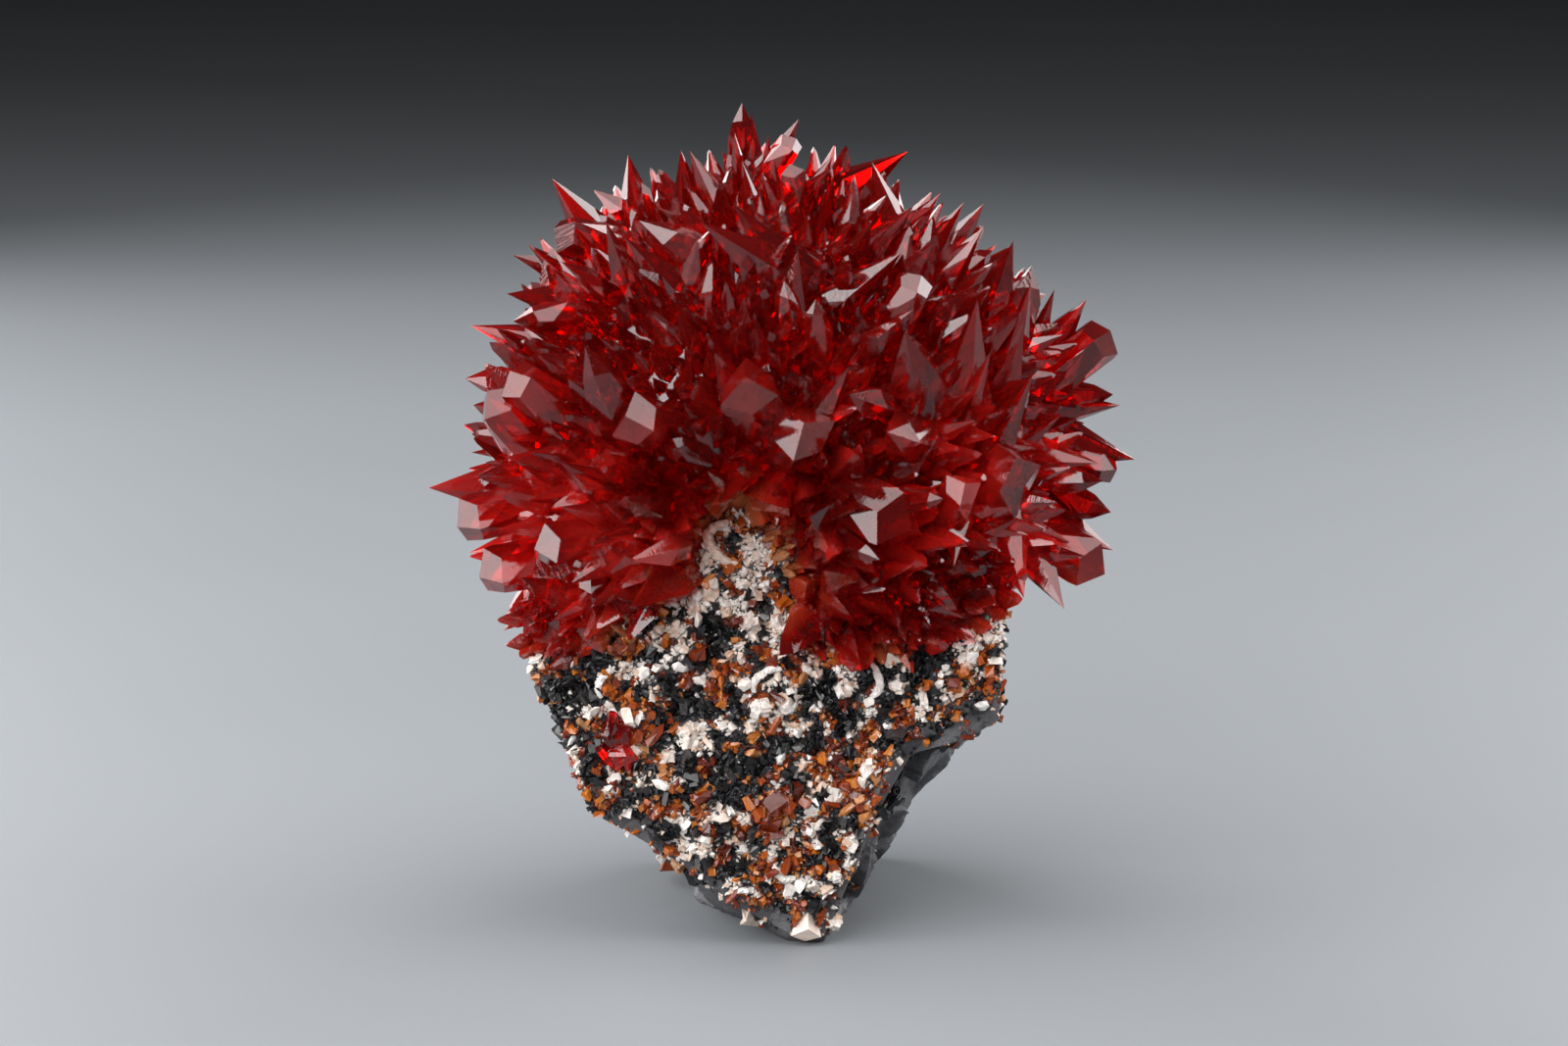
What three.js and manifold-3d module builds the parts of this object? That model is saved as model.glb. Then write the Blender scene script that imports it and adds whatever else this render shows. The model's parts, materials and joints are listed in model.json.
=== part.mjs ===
// Rhodochrosite on matrix: a dome of deep red dog-tooth crystals grown over the top of a wedge of dark
// manganese ore, whose front is crusted with a druse of small white, orange and black crystals.
// Millimetres, +Z up, front towards -Y. The origin is the middle of the flat break that it stands on.

import * as THREE from "three";
import { ImprovedNoise } from "three/addons/math/ImprovedNoise.js";
import { mergeVertices } from "three/addons/utils/BufferGeometryUtils.js";
import Module from "manifold-3d";

const wasm = await Module();
wasm.setup();

// Front view: crystal tips are placed where they look from here, x to the right and z up from the foot
const VIEW_DISTANCE = 570;
const VIEW_TILT = THREE.MathUtils.degToRad(10);
const VIEW_TARGET = new THREE.Vector3(0, -6, 52.5);
const VIEW_TARGET_Z = 54.5;
const VIEW_RIGHT = new THREE.Vector3(1, 0, 0);
const VIEW_UP = new THREE.Vector3(0, Math.sin(VIEW_TILT), Math.cos(VIEW_TILT));
const VIEW_FORWARD = new THREE.Vector3(0, Math.cos(VIEW_TILT), -Math.sin(VIEW_TILT));

// Dome of crystals: the ellipsoid that most tips reach
const DOME_CENTRE = new THREE.Vector3(-1.3, -4, 60.4);
const DOME_REACH = new THREE.Vector3(43.5, 36, 43.5);
const CORE_SHARE = 0.77;
const CORE_FACETS = [14, 9];
const CORE_ROUGHNESS = 1.2;
const CORE_EDGE = -4;
const CORE_EDGE_DEPTH = -17;
const CRUST_THICKNESS = 2.2;
const CRUST_TOP = 92;
const CRUST_BACK = 12;
const CRUST_DEPTH = 40;
const DOME_BACK = 0.5;

// Matrix: profiles of the rock, as [height, place] points
const FRONT_LEFT_X = [
  [0, 0.5], [4, -4.5], [8, -10], [12, -15], [16, -23.5], [20, -25], [24, -24], [28, -27],
  [33, -30], [38, -32], [44, -31.5], [56, -29], [66, -26], [76, -20], [84, -13], [90, -6],
];
const FRONT_RIGHT_X = [
  [0, 5.5], [4, 6.6], [8, 8.2], [12, 10.6], [16, 12.2], [22, 13.4], [25, 16], [28, 25.5],
  [33, 27.5], [44, 27.5], [56, 26], [66, 23], [76, 17], [84, 10], [90, 4],
];
const FLANK_LEFT_X = [
  [0, -11.5], [6, -16.5], [12, -20.5], [16, -23], [24, -24.5], [33, -29], [44, -31], [56, -30],
  [66, -27], [76, -21], [84, -14], [90, -6.5],
];
const FLANK_RIGHT_X = [
  [0, 9], [6, 13], [12, 17.6], [16, 20], [20, 24.5], [24, 27.5], [33, 28.4], [44, 29],
  [56, 27.5], [66, 24.5], [76, 18.5], [84, 11.5], [90, 4.5],
];
const BACK_HALF_WIDTH = [
  [0, 13], [12, 18], [24, 23], [38, 27], [50, 28], [62, 26.5], [72, 22], [80, 16], [86, 10], [90, 5],
];
const FRONT_Y = [[0, -20.5], [20, -21.5], [44, -20.5], [56, -19], [66, -15.5], [76, -9], [84, -1], [90, 7]];
const BACK_Y = [[0, 23], [10, 26], [30, 28], [60, 27], [76, 24], [84, 20], [90, 14]];
const FLANK_SHARE = 0.46;
const ROCK_LEVELS = [0, 4, 8, 12, 16, 20, 24, 28, 33, 38, 44, 54, 64, 74, 83, 90];
const RING_POINTS = [6, 3, 3, 4, 3, 3];
const ROCK_ROUGHNESS = 1.1;
const ROCK_GRAIN = 0.13;
const CHIP_ROUGHNESS = 2;
const CHIP_GRAIN = 0.23;

// Lower edge of the crystals across the front, as [x, z] points
const CRYSTAL_EDGE = [
  [-38, 40], [-33, 37.5], [-26, 37], [-22, 39.5], [-17, 46], [-11, 53], [-8, 58], [-5.5, 58.5],
  [-1.5, 53], [1.5, 49], [3.5, 42], [4.5, 38], [10, 37], [17, 37.5], [22, 39.5], [28, 42], [38, 43],
];
const EDGE_FOOT = -1;
const EDGE_RISE = 15;
const EDGE_DEPTH = -24;
const EDGE_LEAN = THREE.MathUtils.degToRad(24);
const EDGE_TILT = 0.45;

// Druse: the crust on the front, between the lower outline of the face and the crystals
const FACE_FOOT_Z = [
  [-32, 37], [-30, 32.5], [-27, 27.5], [-24.5, 18], [-20.5, 15.5], [-15, 12.4], [-10, 8.4], [-4.5, 4.4],
  [0, 1.6], [5.2, 1.2], [6.6, 4.6], [8.2, 8.6], [10.6, 12.6], [12.2, 17], [13.4, 22.5], [16, 25.5],
  [25.5, 28.4], [27.5, 30],
];
const DRUSE_COLUMNS = 16;
const DRUSE_ROWS = 7;
const DRUSE_THICKNESS = 2.2;
const DRUSE_RELIEF = 1.3;
const DRUSE_TUCK = 4;
const DRUSE_SWELLS = 0.21;
const DRUSE_LUMPS = 0.83;
const GAP = 0.3;
const SLIVER = 0.1;

// Crystal habit
const TOOTH_GIRTH = 6;
const GIRTH_POWER = 0.25;
const BLUNT_EDGE = 0.82;
const ZIGZAG = 0.13;
const STEM_LENGTH_MIN = 8;
const STEM_LENGTH_MAX = 18;
const STEM_HOLD = 1.5;
const STEM_TAPER = 2.6;
const ROOT_TURNS = [0, 0.15, 0.3, 0.5, 0.7];
const LEAN_SHARE = 0.62;

// Forms a crystal takes: length over half girth of its point, and for a blunt one the girth of its cap, the
// slopes of the cap's two kinds of edge, and flatness
const FORMS = {
  tooth: { sharpness: 2.9 },
  spike: { sharpness: 3.9 },
  leaf: { sharpness: 3.3, cap: 0.58, capSlope: [1.45, 1.75], flat: 0.85 },
  block: { sharpness: 7, cap: 0.82, capSlope: [0.5, 1], flat: 1 },
  blade: { sharpness: 5.5, cap: 0.55, capSlope: [1, 1.4], flat: 0.6 },
};

// Main crystals: x and z of the tip in the front view, the way it points there (degrees, 90 is up), girth,
// form, and where given its lean towards the viewer (degrees) and how far it stands back from the dome
const MAIN_CRYSTALS = [
  // Crown and upper left
  [-5.5, 109.5, 88, 4.4, "leaf"],
  [-4.3, 108, 92, 3, "tooth"],
  [2, 107.4, 28, 5.2, "tooth"],
  [1.6, 104.8, 50, 3.8, "block"],
  [-6.5, 105.6, 98, 4.2, "spike"],
  [-2.1, 105.2, 88, 4.2, "spike"],
  [-1.3, 102.2, 95, 4.6, "spike"],
  [-5.5, 101.8, 102, 4.4, "spike"],
  [-30.4, 99.6, 125, 7, "tooth"],
  [-20.4, 102.7, 97, 7.8, "tooth"],
  [-13.5, 103.3, 96, 6.2, "tooth"],
  [-12.3, 103.2, 114, 5.4, "tooth"],
  [-23.3, 93.9, 110, 4.8, "tooth"],
  [-20.9, 91.9, 135, 6.2, "tooth"],
  [-19, 94.1, 148, 8, "leaf"],
  [-10.9, 93.8, 148, 6.2, "tooth"],
  [-6.7, 96.3, 134, 6.8, "tooth"],
  [-30.1, 93.1, 160, 6.2, "block"],
  [-33.6, 91, 140, 4.2, "tooth"],
  [-35.6, 89.6, 160, 5.4, "tooth"],
  [-36.3, 84.5, 172, 6.2, "tooth"],
  [-35.5, 80.9, 185, 5.2, "leaf"],
  [-29.2, 88.7, 150, 4.4, "tooth"],
  [1.8, 90.5, 85, 4.6, "tooth"],
  [0, 86.2, 100, 3.6, "leaf"],
  [4.2, 83.8, 95, 3.6, "leaf"],
  // Upper right
  [16.2, 103.1, 14, 6.6, "tooth"],
  [11.5, 101.7, 105, 6.2, "tooth"],
  [9.2, 100, 85, 5.2, "tooth"],
  [6.4, 102.6, 60, 3.8, "tooth"],
  [6.2, 101, 42, 3.6, "tooth"],
  [0.8, 101.5, 100, 3.8, "block"],
  [16.9, 95.9, 45, 6.2, "tooth"],
  [20.5, 97.7, 50, 3.6, "tooth"],
  [23.6, 96.5, 55, 3.2, "tooth"],
  [26.2, 96.3, 52, 5.2, "tooth"],
  [26, 93.1, 55, 4.4, "tooth"],
  [30, 91.4, 75, 6.8, "tooth"],
  [32.4, 88.2, 85, 5.2, "leaf"],
  [32.3, 85.9, 92, 4.2, "spike"],
  [35.4, 85.1, 80, 4.2, "spike"],
  [39.6, 83.8, 52, 6.2, "tooth"],
  [42.7, 79.7, 44, 6.8, "block"],
  [19.6, 91.4, 50, 6, "tooth"],
  [15.4, 89.9, 38, 6.8, "tooth"],
  [18, 86.9, 60, 5.4, "block"],
  [25.3, 83.7, 80, 4.4, "tooth"],
  [16.9, 82.4, 40, 4.6, "tooth"],
  // Left flank
  [-26, 77.6, 118, 7, "leaf"],
  [-35.9, 74.4, 140, 6.8, "block"],
  [-38.8, 71.8, 128, 7.6, "block"],
  [-46.5, 59.1, 183, 8.6, "tooth"],
  [-36.5, 63.1, 175, 5.2, "tooth"],
  [-42.8, 54, 200, 7.2, "block"],
  [-39.9, 47.4, 195, 7.2, "block"],
  [-29.5, 62.6, 120, 4.4, "tooth"],
  [-29.2, 61.8, 152, 8, "blade", 36, 5],
  [-24.1, 62.4, 152, 5.4, "blade", 46, 4],
  [-25, 51.9, 185, 4.8, "tooth", 52],
  [-20.8, 68.5, 150, 7.6, "block"],
  [-15.4, 66.9, 100, 5.6, "spike"],
  [-13.2, 70.3, 103, 7.6, "tooth"],
  // Middle and right
  [-5.1, 73.6, 110, 8.8, "block"],
  [2.6, 67.4, 80, 9.2, "block"],
  [15.8, 79.5, 122, 9.8, "leaf", 35],
  [13.5, 66.4, 175, 8.6, "leaf", 50],
  [8.5, 71.3, 172, 4.8, "leaf"],
  [8.5, 74.9, 60, 3.8, "tooth"],
  [31.4, 81, 82, 5.2, "spike"],
  [27, 76.9, 85, 4.2, "spike"],
  [32.6, 74.1, 70, 4.4, "tooth"],
  [39.6, 77.4, 35, 5.4, "tooth"],
  [43.1, 71.3, 5, 4.6, "leaf"],
  [44, 69.9, 2, 4.2, "tooth"],
  [45.9, 62.8, -20, 8.4, "tooth"],
  [43.6, 61.5, -10, 5.2, "block"],
  [30.4, 63.1, 80, 7.6, "block", 55],
  [41.2, 62.3, -8, 4.6, "tooth"],
  [23.7, 59.7, 110, 5.4, "block"],
  [20.8, 57.7, 5, 5, "blade"],
  [41.7, 60, -5, 4.6, "leaf"],
  [42.8, 55.9, -12, 5, "leaf"],
  [43.1, 50.9, -25, 7.2, "tooth"],
  [42, 47.8, -30, 7.8, "block"],
  // Lower right
  [-1.3, 50.8, 258, 7.2, "leaf"],
  [12.6, 49.2, -8, 6.8, "blade"],
  [16.7, 53.6, -30, 8.8, "block"],
  [22.4, 48, 245, 4.6, "tooth"],
  [31.5, 44.4, 285, 6.8, "tooth"],
  [36.7, 43.2, 300, 8, "tooth"],
  [9.4, 36, 268, 8, "leaf"],
  [19.5, 39.1, 290, 5, "tooth"],
  [11.5, 41.3, 285, 4.4, "spike"],
  [5.8, 44, 200, 6.2, "block"],
  [4.9, 38, 250, 5.4, "block"],
  [16.2, 37.2, 290, 6.6, "leaf"],
  // Lower left
  [-34.6, 47.2, 150, 9.4, "tooth", 42],
  [-36.7, 40.4, 215, 6.8, "tooth"],
  [-25.5, 46.9, 95, 4.6, "block", 62],
  [-23.5, 42.7, 200, 5.4, "block"],
  [-32.7, 51, 160, 6.6, "block"],
  [-17.9, 52.6, 130, 7.2, "block", 60],
  [-24.4, 50.4, 150, 6.2, "block", 52],
];

// Crystals that fill in between the main ones
const FILL_SITES = 200;
const FILL_GIRTH = [5, 7.4];
const FILL_REACH = [0.9, 1];
const FILL_SPREAD = 0.3;
const FILL_LEAN = 0.65;
const FILL_EDGE_SHARE = 0.02;
const FILL_FORMS = ["leaf", "spike", "tooth"];
const FILL_CLEARANCE = 7;
const FILL_SEED = 5;

// Stray crystals low on the left of the druse, and the pale crystal at the foot: tip, way it points, girth
const STRAY_CRYSTALS = [
  [-22, -25.6, 30.2, [-0.2, -0.62, 0.76], 4.4],
  [-20.4, -26, 26.4, [0.2, -0.86, 0.2], 4.8],
  [-23, -24.6, 26.6, [-0.5, -0.8, -0.2], 3.6],
];
const STRAY_LENGTH = 1.6;
const CALCITE_TIP = [3.1, -24.4, 2.7, [0.1, -0.85, 0.12], 4.6];

const COLOURS = {
  rhodochrosite: 0x8c0e10,
  matrix: 0x2b2b2e,
  druse: 0x6b4f3c,
  calcite: 0xd9c9bd,
};

const noise = new ImprovedNoise();
const { lerp, smoothstep, clamp } = THREE.MathUtils;

// Repeatable numbers from 0 to 1
function seeded(state) {
  return () => {
    state = (state + 0x6d2b79f5) | 0;
    let t = Math.imul(state ^ (state >>> 15), 1 | state);
    t = (t + Math.imul(t ^ (t >>> 7), 61 | t)) ^ t;
    return ((t ^ (t >>> 14)) >>> 0) / 2 ** 32;
  };
}

// The value of a profile at t, straight between its points
function along(profile, t) {
  const next = profile.findIndex(([at]) => at > t);
  if (next === 0) return profile[0][1];
  if (next < 0) return profile[profile.length - 1][1];
  const [[t0, v0], [t1, v1]] = [profile[next - 1], profile[next]];
  return lerp(v0, v1, (t - t0) / (t1 - t0));
}

function geometryOf(vertices, triangles) {
  const geometry = new THREE.BufferGeometry();
  const numbers = vertices.flatMap((v) => v.toArray());
  geometry.setAttribute("position", new THREE.Float32BufferAttribute(numbers, 3));
  geometry.setIndex(triangles.flat());
  return geometry;
}

function solidOf(geometry) {
  const bare = geometry.clone();
  bare.deleteAttribute("normal");
  bare.deleteAttribute("uv");
  const merged = mergeVertices(bare);
  return new wasm.Manifold(
    new wasm.Mesh({
      numProp: 3,
      vertProperties: merged.attributes.position.array,
      triVerts: new Uint32Array(merged.index.array),
    }),
  );
}

// The main body of a joined solid, without slivers
const mainBody = (solid) =>
  solid
    .simplify(SLIVER)
    .decompose()
    .reduce((a, b) => (a.volume() > b.volume() ? a : b));

function meshOf(name, solid, colour, roughness) {
  const { vertProperties, triVerts } = mainBody(solid).getMesh();
  const geometry = new THREE.BufferGeometry();
  geometry.setAttribute("position", new THREE.BufferAttribute(vertProperties, 3));
  geometry.setIndex(new THREE.BufferAttribute(triVerts, 1));
  const look = { color: colour, roughness, metalness: 0, flatShading: true };
  const mesh = new THREE.Mesh(geometry, new THREE.MeshStandardMaterial(look));
  mesh.name = name;
  return mesh;
}

// The triangles between two rings of the same number of vertices, the second one further along
const ringBand = (first, second, count) =>
  Array.from({ length: count }, (_, k) => (k + 1) % count).flatMap((next, k) => [
    [first + k, first + next, second + k],
    [first + next, second + next, second + k],
  ]);

// A fan from one vertex to a ring, facing out when the ring turns left round the outward direction
const ringFan = (centre, ring, count) =>
  Array.from({ length: count }, (_, k) => [centre, ring + k, ring + ((k + 1) % count)]);

// Matrix

// One level of the rock: a six-sided outline, its sides split into points and roughened
function rockRing(z, offset) {
  const half = along(BACK_HALF_WIDTH, z);
  const front = along(FRONT_Y, z);
  const back = along(BACK_Y, z);
  const flank = lerp(front, back, FLANK_SHARE);
  const corners = [
    [along(FRONT_LEFT_X, z), front],
    [along(FRONT_RIGHT_X, z), front],
    [along(FLANK_RIGHT_X, z), flank],
    [half, back],
    [-half, back],
    [along(FLANK_LEFT_X, z), flank],
  ].map(([x, y]) => new THREE.Vector2(x, y));
  const middle = corners.reduce((sum, c) => sum.add(c), new THREE.Vector2()).divideScalar(corners.length);
  return corners.flatMap((corner, side) =>
    Array.from({ length: RING_POINTS[side] }, (_, k) => {
      const next = corners[(side + 1) % corners.length];
      const flat = corner.clone().lerp(next, k / RING_POINTS[side]);
      const broad = noise.noise(flat.x * ROCK_GRAIN, flat.y * ROCK_GRAIN, z * ROCK_GRAIN);
      const chipped = side === 0 ? 0 : noise.noise(flat.x * CHIP_GRAIN, flat.y * CHIP_GRAIN, z * CHIP_GRAIN);
      const out = flat.clone().sub(middle);
      return flat.add(out.setLength(offset + ROCK_ROUGHNESS * broad + CHIP_ROUGHNESS * chipped));
    }),
  );
}

// The rock as a stack of levels, grown outwards by the offset
function rock(offset) {
  const count = RING_POINTS.reduce((sum, n) => sum + n, 0);
  const last = ROCK_LEVELS.length - 1;
  const lift = (k) => (k === 0 ? -offset : k === last ? offset : 0);
  const vertices = ROCK_LEVELS.flatMap((z, k) =>
    rockRing(z, offset).map(({ x, y }) => new THREE.Vector3(x, y, z + lift(k))),
  );
  const triangles = ROCK_LEVELS.slice(1).flatMap((_, k) => ringBand(k * count, (k + 1) * count, count));
  const top = last * count;
  const middleOf = (start) =>
    vertices
      .slice(start, start + count)
      .reduce((sum, v) => sum.add(v), new THREE.Vector3())
      .divideScalar(count);
  vertices.push(middleOf(0), middleOf(top));
  triangles.push(...ringFan(vertices.length - 2, 0, count).map(([a, b, c]) => [a, c, b]));
  triangles.push(...ringFan(vertices.length - 1, top, count));
  return solidOf(geometryOf(vertices, triangles));
}

// Crystals

// A sharp crystal along +Z with its tip at the origin: a point that widens down to its root, with three sharp
// and three blunt edges by turns
function toothGeometry({ girth, form, length, grow }) {
  const slope = FORMS[form].sharpness * (TOOTH_GIRTH / girth) ** GIRTH_POWER;
  const height = length + (2 + slope) * grow;
  const corners = Array.from({ length: 6 }, (_, k) => {
    const radius = (k % 2 === 0 ? 1 : BLUNT_EDGE) * (height / slope);
    return new THREE.Vector2(0, radius).rotateAround(new THREE.Vector2(), (k * Math.PI) / 3);
  });
  const top = (1 + slope) * grow;
  const ring = corners.map(({ x, y }) => new THREE.Vector3(x, y, top - height));
  const vertices = [...ring, new THREE.Vector3(0, 0, top)];
  const sides = ringFan(6, 0, 6).map(([tip, a, b]) => [a, b, tip]);
  const root = [[0, 4, 2], [0, 2, 1], [2, 4, 3], [4, 0, 5]];
  return geometryOf(vertices, [...sides, ...root]);
}

// A blunt crystal along +Z with its tip at the origin: a zigzag girdle under a cap, on a tapering stem
function cappedGeometry({ girth, form, length, grow }) {
  const { sharpness, cap, capSlope, flat } = FORMS[form];
  const radius = girth / 2 + grow;
  const tooth = radius * sharpness;
  const raised = (k) => (k % 2 === 0 ? ZIGZAG : -ZIGZAG);
  const girdleZ = (k) => -tooth * (1 - raised(k));
  const slope = (k) => -girdleZ(k) / radius;
  const drop = cap * radius * (sharpness - capSlope[0]);
  const rootZ = -Math.max(length, tooth - drop + girth / 4) - drop;
  const stemPoint = rootZ * STEM_TAPER;
  const rootRadius = (k) => (radius * (rootZ - stemPoint)) / (girdleZ(k) - stemPoint);
  const capRadius = (k) => drop / (slope(k) - capSlope[k % 2]);
  const levels = [
    (k) => [rootRadius(k), rootZ - 2 * grow],
    (k) => [radius, girdleZ(k)],
    (k) => [capRadius(k), -capRadius(k) * slope(k)],
  ];
  const vertices = levels.flatMap((level) =>
    Array.from({ length: 6 }, (_, k) => {
      const [r, z] = level(k);
      const angle = (k * Math.PI) / 3;
      return new THREE.Vector3(r * Math.cos(angle), r * flat * Math.sin(angle), z + drop + grow);
    }),
  );
  const triangles = levels.slice(1).flatMap((_, n) => ringBand(n * 6, (n + 1) * 6, 6));
  vertices.push(new THREE.Vector3(0, 0, rootZ + drop - grow), new THREE.Vector3(0, 0, 2 * grow));
  triangles.push(...ringFan(vertices.length - 2, 0, 6).map(([a, b, c]) => [a, c, b]));
  triangles.push(...ringFan(vertices.length - 1, (levels.length - 1) * 6, 6));
  return geometryOf(vertices, triangles);
}

const crystalGeometry = (shape) => (FORMS[shape.form].cap ? cappedGeometry(shape) : toothGeometry(shape));

function growCrystal({ tip, axis, roll, ...shape }, grow = 0) {
  const turn = new THREE.Quaternion().setFromUnitVectors(new THREE.Vector3(0, 0, 1), axis);
  turn.multiply(new THREE.Quaternion().setFromAxisAngle(new THREE.Vector3(0, 0, 1), roll));
  const place = new THREE.Matrix4().compose(tip, turn, new THREE.Vector3(1, 1, 1));
  return solidOf(crystalGeometry({ ...shape, grow }).applyMatrix4(place));
}

// How far a point of the front view is from the crystals' lower edge, negative below it
function aboveEdge(x, z) {
  const point = new THREE.Vector3(x, 0, z);
  const foot = new THREE.Vector3();
  const nearest = CRYSTAL_EDGE.slice(1).map(([x1, z1], k) => {
    const [x0, z0] = CRYSTAL_EDGE[k];
    const stretch = new THREE.Line3(new THREE.Vector3(x0, 0, z0), new THREE.Vector3(x1, 0, z1));
    return stretch.closestPointToPoint(point, true, foot).distanceTo(point);
  });
  return Math.min(...nearest) * Math.sign(z - along(CRYSTAL_EDGE, x));
}

// How much higher the lower edge runs on the sides than across the front
const edgeRise = (y) => EDGE_TILT * (y - EDGE_DEPTH);

// 0 on the lower edge, rising to 1 where the dome has its full depth
const domeShare = (x, z) => smoothstep(aboveEdge(x, z), EDGE_FOOT, EDGE_RISE);

// The place on the dome that looks to be at x, z from the front, sunk towards the druse near the lower edge
function onDome(x, z) {
  const eye = VIEW_TARGET.clone().addScaledVector(VIEW_FORWARD, -VIEW_DISTANCE);
  const seen = VIEW_TARGET.clone().addScaledVector(VIEW_RIGHT, x).addScaledVector(VIEW_UP, z - VIEW_TARGET_Z);
  const origin = eye.clone().sub(DOME_CENTRE).divide(DOME_REACH);
  const sight = seen.sub(eye).divide(DOME_REACH).normalize();
  const line = new THREE.Ray(origin, sight);
  const unitDome = new THREE.Sphere(new THREE.Vector3(), 1);
  const hit =
    line.intersectSphere(unitDome, new THREE.Vector3()) ??
    line.closestPointToPoint(unitDome.center, new THREE.Vector3());
  const lean = Math.asin(clamp(-hit.y / hit.length(), 0, 1));
  const tip = hit.multiply(DOME_REACH).add(DOME_CENTRE);
  const share = domeShare(x, z);
  if (tip.y < EDGE_DEPTH) tip.y = lerp(EDGE_DEPTH, tip.y, share);
  return { tip, lean: Math.max(EDGE_LEAN, lean * LEAN_SHARE * share) };
}

// Whether a place is well inside the mass that the crystals share, or inside the rock
function isHeld({ x, y, z }) {
  const unit = new THREE.Vector3(x, y, z).sub(DOME_CENTRE).divide(DOME_REACH).divideScalar(CORE_SHARE);
  const half = CORE_SHARE * DOME_REACH.y * Math.sqrt(Math.max(0, 1 - unit.x * unit.x - unit.z * unit.z));
  const inRock = x > along(FRONT_LEFT_X, z) && x < along(FRONT_RIGHT_X, z) && y > along(FRONT_Y, z);
  const inCore = y > coreFront(x, z, -half) + STEM_HOLD && y < DOME_CENTRE.y + half - STEM_HOLD;
  return inRock || inCore;
}

// The front of the shared mass, sunk into the rock near the crystals' lower edge
function coreFront(x, z, depth) {
  const front = DOME_CENTRE.y + depth;
  const share = smoothstep(aboveEdge(x, z), CORE_EDGE, EDGE_RISE);
  return front < CORE_EDGE_DEPTH ? lerp(CORE_EDGE_DEPTH, front, share) : front;
}

// A crystal's axis and length, turned out from the dome's centre as far as its root needs
function rooted(tip, axis) {
  const lengths = Array.from({ length: STEM_LENGTH_MAX - STEM_LENGTH_MIN }, (_, k) => STEM_LENGTH_MIN + k);
  const outward = tip.clone().sub(DOME_CENTRE).normalize();
  for (const turn of ROOT_TURNS) {
    const turned = axis.clone().lerp(outward, turn).normalize();
    const length = lengths.find((l) => isHeld(tip.clone().addScaledVector(turned, -l)));
    if (length !== undefined) return { axis: turned, length };
  }
  return { axis: outward, length: STEM_LENGTH_MAX };
}

const rollOf = seeded(FILL_SEED + 1);

function mainCrystal([x, z, angle, girth, form, leanDegrees, sink = 0]) {
  const { tip, lean: domeLean } = onDome(x, z);
  tip.addScaledVector(VIEW_FORWARD, sink);
  const lean = leanDegrees === undefined ? domeLean : THREE.MathUtils.degToRad(leanDegrees);
  const turn = THREE.MathUtils.degToRad(angle);
  const axis = new THREE.Vector3()
    .addScaledVector(VIEW_RIGHT, Math.cos(lean) * Math.cos(turn))
    .addScaledVector(VIEW_UP, Math.cos(lean) * Math.sin(turn))
    .addScaledVector(VIEW_FORWARD, -Math.sin(lean));
  return { tip, ...rooted(tip, axis), roll: rollOf() * Math.PI, girth, form };
}

// Sites spread evenly over the dome, less those on its back, on the bare druse or beside a main crystal's tip
function fillCrystals(mains) {
  const random = seeded(FILL_SEED);
  const between = ([low, high]) => lerp(low, high, random());
  const goldenAngle = Math.PI * (3 - Math.sqrt(5));
  const jitter = () => (random() - 0.5) * 2 * FILL_SPREAD;
  const made = Array.from({ length: FILL_SITES }, (_, k) => {
    const y = 1 - (2 * (k + 0.5)) / FILL_SITES;
    const r = Math.sqrt(1 - y * y);
    const out = new THREE.Vector3(r * Math.cos(k * goldenAngle), y, r * Math.sin(k * goldenAngle));
    const tip = out.clone().multiply(DOME_REACH).multiplyScalar(between(FILL_REACH)).add(DOME_CENTRE);
    const share = domeShare(tip.x, tip.z - Math.max(0, edgeRise(tip.y)));
    if (tip.y < EDGE_DEPTH) tip.y = lerp(EDGE_DEPTH, tip.y, share);
    const axis = out.clone().add(new THREE.Vector3(jitter(), jitter() * share, jitter()));
    axis.y *= share * FILL_LEAN;
    const form = FILL_FORMS[Math.floor(random() * FILL_FORMS.length)];
    const girth = between(FILL_GIRTH);
    return { tip, ...rooted(tip, axis.normalize()), roll: random() * Math.PI, girth, form, out, share };
  });
  const onCrystals = ({ out, share }) => out.y < DOME_BACK && share > FILL_EDGE_SHARE;
  const clear = ({ tip }) => mains.every((main) => main.tip.distanceTo(tip) > FILL_CLEARANCE);
  return made.filter((site) => onCrystals(site) && clear(site));
}

// The mass that the crystals share, faceted like their buried sides
function crystalCore(grow = 0) {
  const sphere = new THREE.SphereGeometry(1, ...CORE_FACETS);
  sphere.deleteAttribute("normal");
  sphere.deleteAttribute("uv");
  const core = mergeVertices(sphere);
  const position = core.getAttribute("position");
  const point = new THREE.Vector3();
  for (let k = 0; k < position.count; k++) {
    point.fromBufferAttribute(position, k).multiply(DOME_REACH).multiplyScalar(CORE_SHARE);
    const rough = noise.noise(point.x, point.y, point.z) * CORE_ROUGHNESS;
    point.setLength(point.length() + rough).add(DOME_CENTRE);
    point.y = coreFront(point.x, point.z, point.y - DOME_CENTRE.y) - grow;
    position.setXYZ(k, point.x, point.y, point.z);
  }
  return solidOf(core);
}

// The space above the crystals' lower edge, in front of the bare back of the rock
function crystalRegion(shift = 0, drop = 0) {
  const [[leftX], [rightX]] = [CRYSTAL_EDGE[0], CRYSTAL_EDGE[CRYSTAL_EDGE.length - 1]];
  const corners = [...CRYSTAL_EDGE, [rightX, CRUST_TOP], [leftX, CRUST_TOP]];
  const outline = new THREE.Shape(corners.map(([x, z]) => new THREE.Vector2(x, z)));
  const region = new THREE.ExtrudeGeometry(outline, { depth: CRUST_DEPTH, bevelEnabled: false });
  region.rotateX(Math.PI / 2).translate(shift, CRUST_BACK, -drop);
  const position = region.getAttribute("position");
  for (let k = 0; k < position.count; k++) {
    position.setZ(k, position.getZ(k) + edgeRise(position.getY(k)));
  }
  return solidOf(region);
}

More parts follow.
